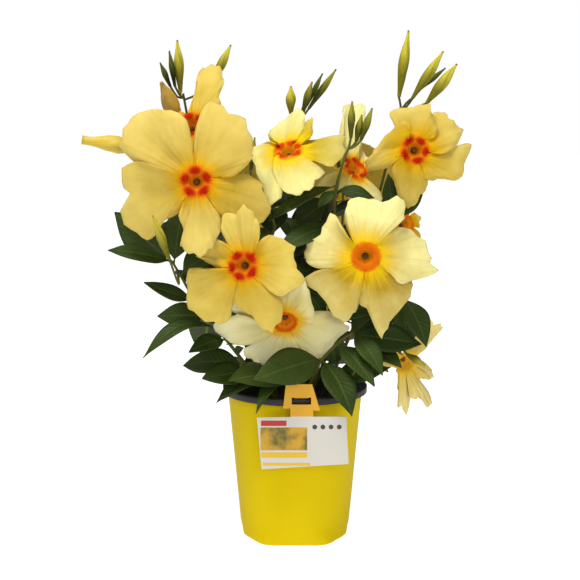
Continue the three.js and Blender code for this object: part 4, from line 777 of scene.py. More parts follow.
class Nodes:
    """Adds nodes to a tree and joins them up."""

    def __init__(self, tree):
        self.tree = tree

    def feed(self, socket, value):
        value = value.socket if isinstance(value, Value) else value
        if isinstance(value, bpy.types.NodeSocket):
            self.tree.links.new(value, socket)
        else:
            socket.default_value = value

    def add(self, kind, inputs=None, **settings):
        """The outputs of a new node, given its settings and its inputs by name or number."""
        node = self.tree.nodes.new(kind)
        for key, value in settings.items():
            setattr(node, key, value)
        for key, value in (inputs or {}).items():
            self.feed(node.inputs[key], value)
        return node.outputs

    def math(self, operation, *values):
        return Value(self, self.add("ShaderNodeMath", dict(enumerate(values)), operation=operation)[0])

    def mix(self, share, first, second):
        return self.add("ShaderNodeMix", {0: share, 6: first, 7: second}, data_type="RGBA")[2]

    def between(self, value, low, high, first=0.0, last=1.0):
        given = {"Value": value, "From Min": low, "From Max": high, "To Min": first, "To Max": last}
        return Value(self, self.add("ShaderNodeMapRange", given, interpolation_type="SMOOTHSTEP")[0])

    def noise(self, where, scale, detail=3.0, roughness=0.55):
        given = {"Vector": where, "Scale": scale, "Detail": detail, "Roughness": roughness}
        return Value(self, self.add("ShaderNodeTexNoise", given)["Fac"])

    def parts(self, vector):
        return [Value(self, each) for each in self.add("ShaderNodeSeparateXYZ", {0: vector})]

    def bump(self, height, strength, distance):
        return self.add("ShaderNodeBump", {"Strength": strength, "Distance": distance, "Height": height})[0]


def tint(r, g, b):
    """A display colour from 0 to 255, as the linear colour that a shader takes."""
    values = [c / 255 for c in (r, g, b)]
    return (*[c / 12.92 if c <= 0.04045 else ((c + 0.055) / 1.055) ** 2.4 for c in values], 1)


def group(name, inputs, outputs, kind="Shader"):
    """A node group with named inputs and outputs: its tree, its nodes, what it is given and puts out."""
    tree = bpy.data.node_groups.new(name, f"{kind}NodeTree")
    for way, sockets in (("INPUT", inputs), ("OUTPUT", outputs)):
        for label, socket in sockets.items():
            tree.interface.new_socket(label, in_out=way, socket_type=f"NodeSocket{socket}")
    n = Nodes(tree)
    given = {each.name: Value(n, each) for each in n.add("NodeGroupInput") if each.name}
    return tree, n, given, tree.nodes.new("NodeGroupOutput").inputs


def petal_shades():
    """Yellow petal, paler outwards, with a golden glow and red patches round a brown throat, and a painted
    light that makes the inside of the throat glow faintly in its own colour.
    """
    colors = dict.fromkeys(("Petal", "Edge", "Glow", "Ring", "Amber", "Throat"), "Color")
    amounts = dict.fromkeys(("Tone And Shade", "Glow Reach", "Ring Reach", "Ring Whole"), "Float")
    inputs = {"Place": "Vector", "Object": "Vector"} | colors | amounts
    outputs = {"Color": "Color", "Height": "Float", "Painted Throat Light": "Color"}
    tree, n, given, out = group("petal_shades", inputs, outputs)
    along, beside, share = n.parts(given["Place"])
    cloudy, fine = n.noise(given["Object"], 45.0), n.noise(given["Object"], 420.0)
    streaks = n.add("ShaderNodeCombineXYZ", {0: beside * 7.0, 1: along * 0.012})[0]
    streak = n.noise(streaks, 1.6, roughness=0.6)
    # Deeper towards the throat and paler outwards, each lobe in its own tone and shade, partly its own colour
    # and partly painted light and shade, faintly streaked
    outward = n.between(share, 0.1, 0.9) * 0.55 + given["Tone And Shade"] * 0.75 + cloudy * 0.9 - 0.6
    color = n.mix(outward, given["Petal"], given["Edge"])
    color = n.mix(n.between(streak, 0.5, 0.75) * 0.3, color, given["Petal"])
    # Golden glow that runs out in streaks, longest at the seams between petals
    lengths = n.between(streak, 0.3, 0.7) * 0.65 + n.between(beside, 0.5, 1.0) * 0.25 + 0.5
    reach = given["Glow Reach"] * lengths
    color = n.mix(n.between(along, reach * 0.3, reach * 1.5, 1.0, 0.0), color, given["Glow"])
    # Rounded red patches at the seams, or a whole ring, each melting into amber
    ring_reach, whole = given["Ring Reach"], given["Ring Whole"]
    ragged = along + fine * 2.0 - streak * 5.0 + 1.5
    far = (ragged - ring_reach * 0.3) / (ring_reach * 0.75)
    aside = (1.0 - beside) * (1.35 - whole * 1.35)
    patch = (abs(far) ** 2.0 + aside**2.0) ** 0.5
    amber = n.mix(0.25, given["Amber"], given["Glow"])
    color = n.mix(n.between(patch, 1.0, 2.6, 0.95, 0.0), color, amber)
    color = n.mix(n.between(patch, 0.6 - whole * 0.5, whole * 0.9 + 1.7, 1.0, 0.0), color, given["Ring"])
    inside = n.between(along + fine * 2.0, -3.2, 0.4, 0.9, 0.0)
    color = n.mix(inside, color, n.mix(fine, given["Throat"], amber))
    # Near black deep in the tube: partly the throat's own dark centre, partly painted shade in the depths of
    # the funnel
    color = n.mix(n.between(along, -18.0, -7.0, 1.0, 0.0), color, (0.03, 0.02, 0.008, 1))
    # Fine veins from root to rim
    vein = n.math("SINE", beside * 40.0 + cloudy * 6.0)
    color = n.mix(n.between(vein, 0.3, 1.0, 0.0, 0.06), color, given["Glow"])
    n.feed(out["Color"], color)
    n.feed(out["Height"], vein * streak * 0.4 + cloudy * 1.2)
    # Painted light: the inside of the funnel glows in its own colour, up to 0.4 deep in the throat, so it
    # stays bright where shade falls
    n.feed(out["Painted Throat Light"], n.mix(n.between(along, -8.0, 0.0, 0.4, 0.0), (0, 0, 0, 1), color))
    return tree


def leaf_shades():
    """Glossy leaf with a pale midrib, arching side veins and a slight mottle."""
    inputs = {"Place": "Vector", "Object": "Vector", "Dark": "Color", "Light": "Color", "Rib": "Color"}
    outputs = {"Color": "Color", "Height": "Float", "Roughness": "Float"}
    tree, n, given, out = group("leaf_shades", inputs, outputs)
    along, beside, tone = n.parts(given["Place"])
    away = abs(beside)
    cloudy = n.noise(given["Object"], 45.0)
    comb = abs(n.math("FRACT", along * 12.0 - away**0.8 * 2.2) - 0.5)
    side_vein = n.between(comb, 0.05, 0.13, 0.05, 0.0) * n.between(away, 0.8, 1.0, 1.0, 0.0)
    midrib = n.between(away, 0.03, 0.085, 1.0, 0.0)
    color = n.mix(tone + (cloudy - 0.5) * 0.7, given["Dark"], given["Light"])
    color = n.mix(side_vein, color, given["Rib"])
    n.feed(out["Color"], n.mix(midrib * 0.4, color, given["Rib"]))
    n.feed(out["Height"], n.between(comb, 0.0, 0.5) - midrib * 1.2)
    n.feed(out["Roughness"], cloudy * 0.2 + 0.42)
    return tree


def bud_shades():
    """Rolled bud: green at the foot and yellow at the tip, greener and darker where one petal tucks under the
    next, as painted shade in the groove.
    """
    inputs = {"Place": "Vector", "Object": "Vector"}
    tree, n, given, out = group("bud_shades", inputs, {"Color": "Color", "Height": "Float"})
    along, around, ripe = n.parts(given["Place"])
    cloudy = n.noise(given["Object"], 90.0, 2.0)
    turn = n.math("FRACT", around * BUD_FOLDS + along * BUD_TWIST)
    green = n.mix(ripe, tint(38, 48, 10), tint(112, 108, 14))
    yellow = n.mix(ripe, tint(96, 102, 26), tint(206, 192, 62))
    color = n.mix(n.between(along, 0.25, 0.85) + (cloudy - 0.5) * 0.5, green, yellow)
    # Painted shade: greener and darker in the groove where one petal tucks under the next
    n.feed(out["Color"], n.mix(n.between(turn, 0.0, 0.3, 0.55, 0.0), color, green))
    n.feed(out["Height"], turn)
    return tree


def mottle():
    """A base colour that drifts slightly towards a second one, with fine grain for height."""
    inputs = {"Object": "Vector", "First": "Color", "Second": "Color", "Scale": "Float", "Share": "Float"}
    tree, n, given, out = group("mottle", inputs, {"Color": "Color", "Height": "Float"})
    spread = n.noise(given["Object"], given["Scale"], 4.0)
    share = n.between(spread, 0.35, 0.68) * given["Share"]
    n.feed(out["Color"], n.mix(share, given["First"], given["Second"]))
    n.feed(out["Height"], n.noise(given["Object"], given["Scale"] * 12.0, 2.0))
    return tree


GROUPS = dict(petal=petal_shades(), leaf=leaf_shades(), bud=bud_shades(), mottle=mottle())


def shaded(name, kind, values, bump, roughness=0.5, **constants):
    """A material whose colour and relief come from one of the shared groups."""
    material = bpy.data.materials.new(name)
    material.use_nodes = True
    n = Nodes(material.node_tree)
    shader = n.tree.nodes["Principled BSDF"].inputs
    made = n.tree.nodes.new("ShaderNodeGroup")
    made.node_tree = GROUPS[kind]
    values = values | {"Object": n.add("ShaderNodeTexCoord")["Object"]}
    if "Place" in made.inputs:
        values["Place"] = n.add("ShaderNodeAttribute", attribute_name="place")["Vector"]
    if "Tone And Shade" in made.inputs:
        values["Tone And Shade"] = n.add("ShaderNodeAttribute", attribute_name="tone")["Fac"]
    for label, value in values.items():
        n.feed(made.inputs[label], value)
    n.feed(shader["Base Color"], made.outputs["Color"])
    n.feed(shader["Normal"], n.bump(made.outputs["Height"], *bump))
    n.feed(shader["Roughness"], made.outputs["Roughness"] if "Roughness" in made.outputs else roughness)
    # The painted throat light: the petal's own colour, given out as a glow inside the funnel
    if "Painted Throat Light" in made.outputs:
        n.feed(shader["Emission Color"], made.outputs["Painted Throat Light"])
        n.feed(shader["Emission Strength"], 1.0)
    for label, value in constants.items():
        n.feed(shader[label.replace("_", " ")], value)
    return material


def petal_finish(name, middle, edge, reach=13.0, ring_reach=3.4, whole=0.0, **other):
    """A petal's colours, and how far in millimetres its glow and its red patches reach from the mouth."""
    usual = dict(glow=(218, 166, 2), ring=(182, 18, 1), amber=(228, 84, 4), throat=(132, 58, 16))
    colors = usual | other | dict(petal=middle, edge=edge)
    values = {label.capitalize(): tint(*color) for label, color in colors.items()}
    values |= {"Glow Reach": reach, "Ring Reach": ring_reach, "Ring Whole": whole}
    thin = dict(Subsurface_Weight=0.15, Subsurface_Radius=(1.0, 0.75, 0.3), Subsurface_Scale=0.001)
    return shaded(name, "petal", values, (0.5, 0.0008), 0.6, Specular_IOR_Level=0.06, **thin)


def leaf_finish(name, dark, light, rib, relief):
    values = {"Dark": tint(*dark), "Light": tint(*light), "Rib": tint(*rib)}
    return shaded(name, "leaf", values, (relief, 0.0005), Specular_IOR_Level=0.2)


def plain(name, first, second, scale, share, bump=(0.1, 0.0002), roughness=0.5, **constants):
    values = {"First": tint(*first), "Second": tint(*second), "Scale": scale, "Share": share}
    return shaded(name, "mottle", values, bump, roughness, **constants)


PETALS = {
    "bloom_left": petal_finish("petal_left", (190, 158, 50), (228, 204, 110), 19.0, 4.2),
    "bloom_low_centre": petal_finish("petal_low_centre", (190, 154, 34), (230, 206, 104), 17.0, 3.8),
    "bloom_cream": petal_finish(
        "petal_cream", (210, 194, 100), (244, 238, 188), 14.0, 1.6, 0.8,
        glow=(226, 176, 20), ring=(206, 78, 8), throat=(150, 52, 8),
    ),
    "bloom_right": petal_finish(
        "petal_right", (184, 150, 40), (246, 236, 158), 21.0, 2.8, 1.0,
        glow=(236, 194, 8), ring=(224, 104, 6), throat=(122, 44, 8),
    ),
    "bloom_top_right": petal_finish(
        "petal_top_right", (196, 160, 20), (226, 204, 112), 18.0, glow=(216, 168, 2),
    ),
    "bloom_top_centre": petal_finish(
        "petal_top_centre", (198, 170, 30), (236, 228, 150), 18.0, glow=(238, 202, 8), ring=(206, 52, 4),
    ),
    "bloom_low_right": petal_finish(
        "petal_low_right", (214, 186, 84), (244, 230, 160), 9.0, 1.0,
        glow=(224, 184, 50), ring=(226, 180, 50), amber=(222, 160, 30), throat=(190, 140, 40),
    ),
    "bloom_far_right": petal_finish(
        "petal_far_right", (222, 178, 30), (238, 216, 110), 12.0, 1.4, ring=(226, 104, 6),
    ),
    "golden": petal_finish("petal_golden", (198, 166, 48), (230, 206, 106)),
    "cream": petal_finish(
        "petal_pale", (206, 188, 84), (238, 230, 158), glow=(238, 186, 10), ring=(206, 52, 6),
    ),
}
CLOSED_PETALS = {
    "golden": plain("closed_petal", (222, 192, 60), (208, 174, 40), 50.0, 0.6, (0.3, 0.0004), 0.55),
    "olive": plain("faded_petal", (204, 166, 66), (158, 120, 42), 60.0, 0.8, (0.5, 0.0006), 0.6),
}
LEAF_TOP = leaf_finish("leaf_top", (16, 32, 2), (112, 134, 20), (144, 156, 62), 0.25)
LEAF_UNDER = leaf_finish("leaf_underside", (44, 62, 16), (72, 90, 28), (98, 112, 48), 0.4)
GREEN_STEM = plain("green_stem", (84, 92, 32), (106, 88, 42), 90.0, 0.7, Specular_IOR_Level=0.15)
GREEN_BUD = shaded("green_bud", "bud", {}, (0.2, 0.0003), Specular_IOR_Level=0.15)
POLLEN_CONE = plain("pollen_cone", (92, 62, 24), (128, 92, 46), 500.0, 0.8, (0.4, 0.0004), 0.7)
POT_PLASTIC = plain(
    "pot_plastic", (224, 196, 0), (232, 204, 8), 9.0, 0.6, (0.03, 0.0001), Specular_IOR_Level=0.06,
)
NURSERY_PLASTIC = plain("nursery_plastic", (22, 22, 22), (32, 31, 30), 30.0, 0.5)
POTTING_SOIL = plain("potting_soil", (38, 28, 20), (66, 50, 36), 140.0, 0.9, (0.8, 0.001), 0.95)
CARD = plain("label_card", (216, 211, 200), (211, 206, 195), 18.0, 0.3, roughness=0.45)
ORANGE_CARD = plain("label_orange", (226, 168, 20), (218, 160, 16), 18.0, 0.3, roughness=0.45)
PRINT_RED = plain("print_red", (196, 46, 34), (186, 40, 30), 18.0, 0.3, roughness=0.4)
PRINT_GREEN = plain("print_green", (208, 160, 30), (74, 84, 34), 60.0, 1.0, roughness=0.4)
PRINT_YELLOW = plain("print_yellow", (232, 190, 40), (222, 176, 30), 18.0, 0.3, roughness=0.4)
PRINT_DARK = plain("print_dark", (60, 58, 54), (52, 50, 46), 18.0, 0.3, roughness=0.4)


# Blooms
SEAM_OVERLAP = 7
PLAIN_ROOT = 0.2
GROOVE = dict(depth=0.5, half=0.16)
THROAT_END = 45.3
THROAT = [
    (-45, 0.8), (-41, 1.4), (-32, 1.9), (-22, 2.5), (-14, 3.3), (-9, 4.1), (-6, 5.0), (-4, 6.1), (-2.4, 7.2),
    (-1.2, 8.1), (-0.4, FUNNEL["mouth"]),
]
# Radii along the way of the pollen cone, a flower's cup, its calyx and a leaf's stalk
CONE = [(-38, 0.9), (-30, 1.3), (-22, 1.1), (-14, 2.2), (-9, 2.7), (-6, 2.2), (-4.5, 1.2), (-4, 0.3)]
CUP = [(7, 1.2), (5, 1.8), (3, 2.3), (0, 2.3)]
CALYX = [(3, 2.2, 1.2), (0, 2.5, 1.2), (-3, 3.1, 0.8), (-7, 3.6, 0.15)]
LEAF_STALK = [(0, 1.0), (0.04, 0.85), (0.08, 0.8), (0.12, 0.75), (0.2, 0.4)]
BLADE_START = 0.09
CALYX_TONE = 0.6
BUD_STATIONS = (0, 0.3, 0.56, 1)


def middle_turn(lobe):
    """The direction in which a lobe leaves the mouth."""
    return (lobe["rim"][0][0] + lobe["rim"][-1][0]) / 2 % 360 if "rim" in lobe else lobe["turn"] % 360


def pollen_cone(bloom):
    cone = Sheet()
    turn = np.arange(10) * np.pi / 5
    side = round_about(turn, bloom["right"], bloom["up"])
    cone.tube([bloom["at"] + side * radius + bloom["front"] * ahead for ahead, radius in CONE])
    return cone.object("anthers", POLLEN_CONE)


def open_bloom(name, bloom):
    """A continuous funnel and its lobes, waved at their edges, with the pollen cone inside."""
    sheet = Sheet()
    at, front = bloom["at"], bloom["front"]
    lobes = sorted(bloom["lobes"], key=middle_turn)
    turns = [middle_turn(each) for each in lobes]
    borders = [(before + here) / 2 for before, here in zip([turns[-1] - 360, *turns], turns)]
    borders.append(borders[0] + 360)
    steps = [np.linspace(*pair, PETAL_COLUMNS, endpoint=False) for pair in zip(borders, borders[1:])]
    angles = np.radians(np.concatenate(steps))
    beside = np.tile(np.abs(np.linspace(-1, 1, PETAL_COLUMNS, endpoint=False)), len(lobes))
    outward = round_about(angles, bloom["right"], bloom["up"])
    rings = []
    for ahead, radius in THROAT:
        spots = np.stack([np.full_like(beside, ahead), beside, np.zeros_like(beside)], axis=-1)
        row = sheet.add_points(at + outward * radius + front * ahead, spots)
        rings.append(np.append(row, row[0]))
    base = sheet.add_points(at - front * THROAT_END, (THROAT[0][0], 0, 0))[0]
    sheet.add_faces([(a, b, base) for a, b in zip(rings[0][1:], rings[0])])
    sheet.weave([row[::-1] for row in rings])
    s, u = crossed(np.arange(1, PETAL_ROWS + 1) / PETAL_ROWS, np.linspace(-1, 1, PETAL_COLUMNS + 1))
    for k, each in enumerate(lobes):
        own = slice(k * PETAL_COLUMNS, (k + 1) * PETAL_COLUMNS + 1)
        ends = np.vstack([outward, outward[:1]])[own]
        sector = (borders[k] - SEAM_OVERLAP, borders[k + 1] + SEAM_OVERLAP)
        shape, length = lobe_points(bloom, each, s, u, sector)
        # The funnel's own fan at the root, the lobe's form beyond it, and a groove down its middle
        out = FUNNEL["mouth"] + 0.8 * length * s
        back = 0.4 + length * s * math.sin(math.radians(LOBE["lift"]))
        fan = at + out[..., None] * ends - back[..., None] * front
        blend = smooth(s, 0, PLAIN_ROOT)[..., None]
        groove = -GROOVE["depth"] * np.exp(-((u / GROOVE["half"]) ** 2)) * smooth(s, 0, 0.3)
        groove = groove * (1 - smooth(s, 0.6, 1))
        points = fan * (1 - blend) + shape * blend + groove[..., None] * front
        along = np.linalg.norm(points - at, axis=-1) - FUNNEL["mouth"]
        places = np.stack([along, np.abs(u), along / length], axis=-1)
        # Each lobe's tone and shade: partly its own colour, partly painted light and shade
        rows = sheet.add_points(points, places, each["tone"]).reshape(s.shape)
        sheet.weave(np.vstack([rings[-1][own], rows])[:, ::-1])
    material = PETALS.get(name) or PETALS[bloom["finish"]]
    return joined([thickened(sheet.object(name, material)), pollen_cone(bloom)], f"{name}_petals")


def spindle(sheet, foot, tip, stations, swell, radius, ripe=1.0):
    """Three petals rolled round each other from foot to tip, for a bud or a closed flower."""
    axis = unit(tip - foot)
    side = unit(np.cross(axis, (0.3, 0.2, 1)))
    across = np.cross(axis, side)
    t = np.linspace(0, 1, BUD_ROWS)
    near = [np.interp(np.clip(t + step, 0, 1), stations, swell) for step in (-0.12, -0.04, 0.04, 0.12)]
    wide = np.mean(near, axis=0) * radius
    t, turn = crossed(t, np.arange(BUD_SIDES) * 2 * np.pi / BUD_SIDES)
    roll = (BUD_FOLDS * turn / (2 * np.pi) + BUD_TWIST * t) % 1
    out = wide[:, None] * (0.86 + 0.26 * roll * (1 - roll) ** 0.5 + 0.1 * roll)
    rings = foot + t[..., None] * (tip - foot) + out[..., None] * round_about(turn, side, across)
    sheet.tube(rings, np.stack([t, turn / (2 * np.pi), np.full_like(t, ripe)], axis=-1))


def closed_flower(name, flower):
    sheet = Sheet()
    spindle(sheet, flower["foot"], flower["tip"], np.linspace(0, 1, 6), flower["swell"], CLOSED_RADIUS)
    return sheet.object(f"{name}_petals", CLOSED_PETALS[flower["finish"]])


# Stems: round green stalks swept along their paths by one node tree
def form_tree(name, **inputs):
    """A geometry tree with named inputs, and how to end it."""
    sockets = dict(Geometry="Geometry", Finish="Material") | inputs
    tree, n, given, out = group(name, sockets, dict(Geometry="Geometry"), "Geometry")

    def ended(made):
        real = n.add("GeometryNodeRealizeInstances", {0: made})[0]
        n.feed(out[0], n.add("GeometryNodeSetMaterial", {"Geometry": real, "Material": given["Finish"]})[0])
        return tree

    return n, given, ended


def formed(piece, tree, **values):
    """The piece as its geometry tree makes it, each input set by its socket's identifier."""
    modifier = piece.modifiers.new(tree.name, "NODES")
    modifier.node_group = tree
    for socket in tree.interface.items_tree:
        if socket.in_out == "INPUT" and socket.name in values:
            modifier[socket.identifier] = values[socket.name]
    return settled(piece)


def sweep_tree():
    n, given, ended = form_tree("sweep_round", Sides="Int")
    circle = n.add("GeometryNodeCurvePrimitiveCircle", {"Resolution": given["Sides"], "Radius": 1.0})[0]
    wide = n.add("GeometryNodeInputRadius")[0]
    inputs = {"Curve": given["Geometry"], "Profile Curve": circle, "Scale": wide, "Fill Caps": True}
    stalk = n.add("GeometryNodeCurveToMesh", inputs)[0]
    return ended(n.add("GeometryNodeSetShadeSmooth", {"Geometry": stalk})[0])


SWEEP = sweep_tree()


def swept(name, lines):
    """Round green stalks along lines of (point, radius)."""
    curve = bpy.data.curves.new(name, "CURVE")
    curve.dimensions = "3D"
    for line in lines:
        spline = curve.splines.new("POLY")
        spline.points.add(len(line) - 1)
        for point, (at, radius) in zip(spline.points, line):
            point.co = (*(at / 1000), 1)
            point.radius = radius / 1000
    return formed(placed(name, curve), SWEEP, Sides=STALK_SIDES, Finish=GREEN_STEM)


def bend_through(path, radius=lambda t: STALK["radius"]):
    count = max(math.ceil(path.length() / STALK_STEP), 4)
    return [(path.at(k / count), radius(k / count)) for k in range(count + 1)]


def calyx(sheet, foot, back):
    """Five small green leaves that clasp the foot of a flower."""
    side = unit(np.cross(back, (0.2, 0.1, 1)))
    across = np.cross(back, side)
    for turn in np.arange(5) * 2 * np.pi / 5:
        out = side * math.cos(turn) + across * math.sin(turn)
        around = across * math.cos(turn) - side * math.sin(turn)
        points = [
            [foot + back * away + out * radius + around * half * w for w in (-1, 0, 1)]
            for away, radius, half in CALYX
        ]
        sheet.grid(np.array(points), (0, 0, CALYX_TONE))


def leafy_stem(name, shoot):
    sheet, buds, lines = Sheet(), Sheet(), []
    v, u = crossed(np.linspace(BLADE_START, 1, LEAF_ROWS + 1), np.linspace(-1, 1, LEAF_COLUMNS + 1))
    stalk_steps, stalk_radii = zip(*LEAF_STALK)
    for each in shoot["leaves"]:
        points = leaf_points(each, v, u, wave=0.012)
        places = np.stack([v, u, np.full_like(v, each["tone"])], axis=-1)
        sheet.grid(points[:, ::-1], places[:, ::-1])
        stalk = leaf_points(each, vec(stalk_steps), np.zeros(len(LEAF_STALK)))
        lines.append(list(zip(stalk, stalk_radii)))
    lines.append([(shoot["hole"], STEM["bottom_radius"]), *bend_through(shoot["stem"], stem_radius)])
    for stalk in shoot["stalks"]:
        foot, back = stalk["foot"], stalk["back"]
        lines.append(bend_through(stalk["path"]))
        lines.append([(foot + back * away, wide) for away, wide in CUP])
        calyx(sheet, foot, back)
    for bud in shoot["buds"]:
        lines.append(bend_through(bud["path"]))
        thick, ripe = BUD_RADIUS * bud["thick"], float(smooth(bud["thick"], 0.8, 1.3))
        swell = (1.3 / thick, 0.7, 1, 0.4 / thick)
        spindle(buds, bud["foot"], bud["tip"], BUD_STATIONS, swell, thick, ripe)
    pieces = [thickened(sheet.object(f"{name}_blades", LEAF_TOP, LEAF_UNDER), underside=1)]
    pieces.append(swept(f"{name}_stalks", lines))
    if shoot["buds"]:
        pieces.append(buds.object(f"{name}_buds", GREEN_BUD))
    return joined(pieces, f"{name}_foliage")


# Pots, soil and label
FOOT_CORNERS = [(-30, "front"), (30, "front"), (70, "side"), (110, "side"), (150, "front"), (210, "front")]
FOOT_EDGE = [(0, 3.2), (0, 2.0), (0.25, 1.1), (0.8, 0.4), (1.6, 0.05)]


def ring(radius, height, sides=POT_SIDES):
    """Points round the upright axis, from the front; radius and height may change on the way."""
    turn = np.arange(sides) * 2 * np.pi / sides
    return np.stack([radius * np.sin(turn), -radius * np.cos(turn), np.broadcast_to(height, sides)], axis=-1)


def rounded(corners):
    """A profile with its corners rounded, each by its own radius."""
    out = []
    for k, (x, z, radius) in enumerate(corners):
        if radius == 0:
            out.append((x, z))
            continue
        here = vec((x, z))
        before, after = vec(corners[k - 1][:2]) - here, vec(corners[k + 1][:2]) - here
        cut = min(radius, 0.45 * np.linalg.norm(before), 0.45 * np.linalg.norm(after))
        first, last = here + unit(before) * cut, here + unit(after) * cut
        out += [(1 - w) ** 2 * first + 2 * w * (1 - w) * here + w * w * last for w in np.linspace(0, 1, 4)]
    return out


def sharp_foot_radius(turn):
    corners = [(math.radians(a), FOOT[f"{kind}_corner"]) for a, kind in FOOT_CORNERS]
    turn = abs(math.atan2(math.sin(turn), math.cos(turn)))
    after = max(next(k for k, (corner, _) in enumerate(corners) if corner >= turn - 1e-9), 1)
    (a0, r0), (a1, r1) = corners[after - 1], corners[after]
    x0, y0, x1, y1 = r0 * math.sin(a0), r0 * math.cos(a0), r1 * math.sin(a1), r1 * math.cos(a1)
    return (x0 * y1 - x1 * y0) / (math.sin(turn) * (y1 - y0) - math.cos(turn) * (x1 - x0))


def foot_radius(turn):
    """Distance from the middle to the soft-cornered outline of the foot, for a turn from the front."""
    soft = math.radians(FOOT["softening"])
    return (sharp_foot_radius(turn - soft) + 2 * sharp_foot_radius(turn) + sharp_foot_radius(turn + soft)) / 4


def outer_pot():
    wall, floor, top, low = POT["wall"], POT["floor"], POT["height"], FOOT["blend_height"]
    foot = np.array([foot_radius(2 * math.pi * k / POT_SIDES) for k in range(POT_SIDES)])
    heights = (*range(3, 15, 2), low, 40, 80, top - 8, top - 0.7)
    rows = [*FOOT_EDGE, *((z, 0) for z in heights), (top - 0.2, 0.2), (top, 0.6)]
    rows += [(top, wall - 0.6), (top - 0.2, wall - 0.2), (top - 0.7, wall), (80, wall), (low, wall)]
    rows += [(8, wall + 0.6), (floor + 0.6, wall + 1.6), (floor, wall + 2.4)]
    rings = []
    for z, inset in rows:
        blend = float(smooth(z, 0, low))
        share = (max(z, low) - low) / (top - low)
        body = POT["foot_radius"] + (POT["top_radius"] - POT["foot_radius"]) * share
        rings.append(ring(foot * (1 - blend) + body * blend - inset, z))
    return tube_object("yellow_pot", rings, POT_PLASTIC)


def nursery_pot():
    low, wall, rim, lip = POT["floor"] + FIT, RIM["wall"], RIM["radius"], RIM["radius"] - RIM["lip_width"]
    top, out = NURSERY["top_radius"], NURSERY["bottom_radius"]
    corners = [(0.3, low, 0), (out, low, 1.5), (top, RIM_BOTTOM, 0.3), (rim - 0.2, RIM_BOTTOM, 0.6)]
    corners += [(rim, RIM_TOP, 1.0), (lip, RIM_TOP, 0.8), (lip - 0.8, RIM_BOTTOM + wall, 1.2)]
    corners += [(top - wall, RIM_BOTTOM - 4, 1.0), (out - wall, low + wall, 1.2), (0.3, low + wall, 0)]
    return tube_object("dark_pot", [ring(r, z) for r, z in rounded(corners)], NURSERY_PLASTIC)


def crumb_tree():
    """Crumbs scattered over the soil's top, turned and sized at random from a fixed seed."""
    n, given, ended = form_tree("scatter_crumbs", Density="Float")
    upward = n.parts(n.add("GeometryNodeInputNormal")[0])[2]
    height = n.parts(n.add("GeometryNodeInputPosition")[0])[2]
    flat_enough = n.math("GREATER_THAN", upward, CRUMBS["flattest"])
    chosen = flat_enough * n.math("GREATER_THAN", height, CRUMBS["lowest"])
    inputs = {"Mesh": given["Geometry"], "Selection": chosen, "Density": given["Density"], "Seed": 5}
    points = n.add("GeometryNodeDistributePointsOnFaces", inputs)["Points"]
    crumb = n.add("GeometryNodeMeshIcoSphere", {"Radius": CRUMBS["radius"], "Subdivisions": 1})[0]
    ranges = [((0, 0, 0), (6.3, 6.3, 6.3), 2), ((0.7, 0.6, 0.4), (2.6, 1.9, 1.3), 3)]
    spin, size = (
        n.add("FunctionNodeRandomValue", {0: low, 1: high, "Seed": seed}, data_type="FLOAT_VECTOR")[0]
        for low, high, seed in ranges
    )
    inputs = {"Points": points, "Instance": crumb, "Rotation": spin, "Scale": size}
    crumbs = n.add("GeometryNodeInstanceOnPoints", inputs)[0]
    both = n.tree.nodes.new("GeometryNodeJoinGeometry")
    for part in (given["Geometry"], crumbs):
        n.feed(both.inputs[0], part)
    return ended(both.outputs[0])


def soil():
    bottom = POT["floor"] + RIM["wall"] + 2 * FIT
    slope = (NURSERY["top_radius"] - NURSERY["bottom_radius"]) / (RIM_BOTTOM - 3 - POT["floor"] - FIT)

    def inside(z):
        return NURSERY["bottom_radius"] + slope * (z - POT["floor"] - FIT) - RIM["wall"] - FIT - 0.3

    rings = [ring(inside(bottom), bottom, SOIL_SIDES)]
    for k in range(SOIL_RINGS):
        x, y, _ = ring(inside(SOIL["top"] - 2) * (1 - k / SOIL_RINGS), 0, SOIL_SIDES).T
        lumps = np.sin(x / 6.1 + 1) * np.cos(y / 5.3) + 0.6 * np.sin((x + 2 * y) / 7.7)
        rough = 0.5 * np.sin(x * 1.3 + 2 * np.sin(y / 3)) * np.cos(y * 1.1 + x / 4) if k else 0
        rings.append(np.stack([x, y, SOIL["top"] + SOIL["lump"] * lumps + rough], axis=-1))
    made = tube_object("soil_surface", rings, POTTING_SOIL)
    return formed(made, crumb_tree(), Density=CRUMBS["density"], Finish=POTTING_SOIL)


def printed(name, outline, material):
    """A thin flat shape on the face of the card, by its outline of x and z."""
    sheet = Sheet()
    near = np.array([(x, LABEL["front"] - LABEL["print_raised"], z) for x, z in outline])
    rows = sheet.add_points([near, near + (0, LABEL["print_thickness"], 0)]).reshape(2, -1)
    sheet.weave(np.hstack([rows, rows[:, :1]]))
    sheet.add_faces([rows[0], rows[1][::-1]])
    made = sheet.object(name, material)
    made.data.polygons.foreach_set("use_smooth", [False] * len(made.data.polygons))
    return made


def block(x0, z0, x1, z1):
    return [(x0, z0), (x1, z0), (x1, z1), (x0, z1)]


def disc(x, z, r, sides=24):
    turns = np.linspace(0, 2 * math.pi, sides, endpoint=False)
    return [(x + r * math.cos(turn), z + r * math.sin(turn)) for turn in turns]


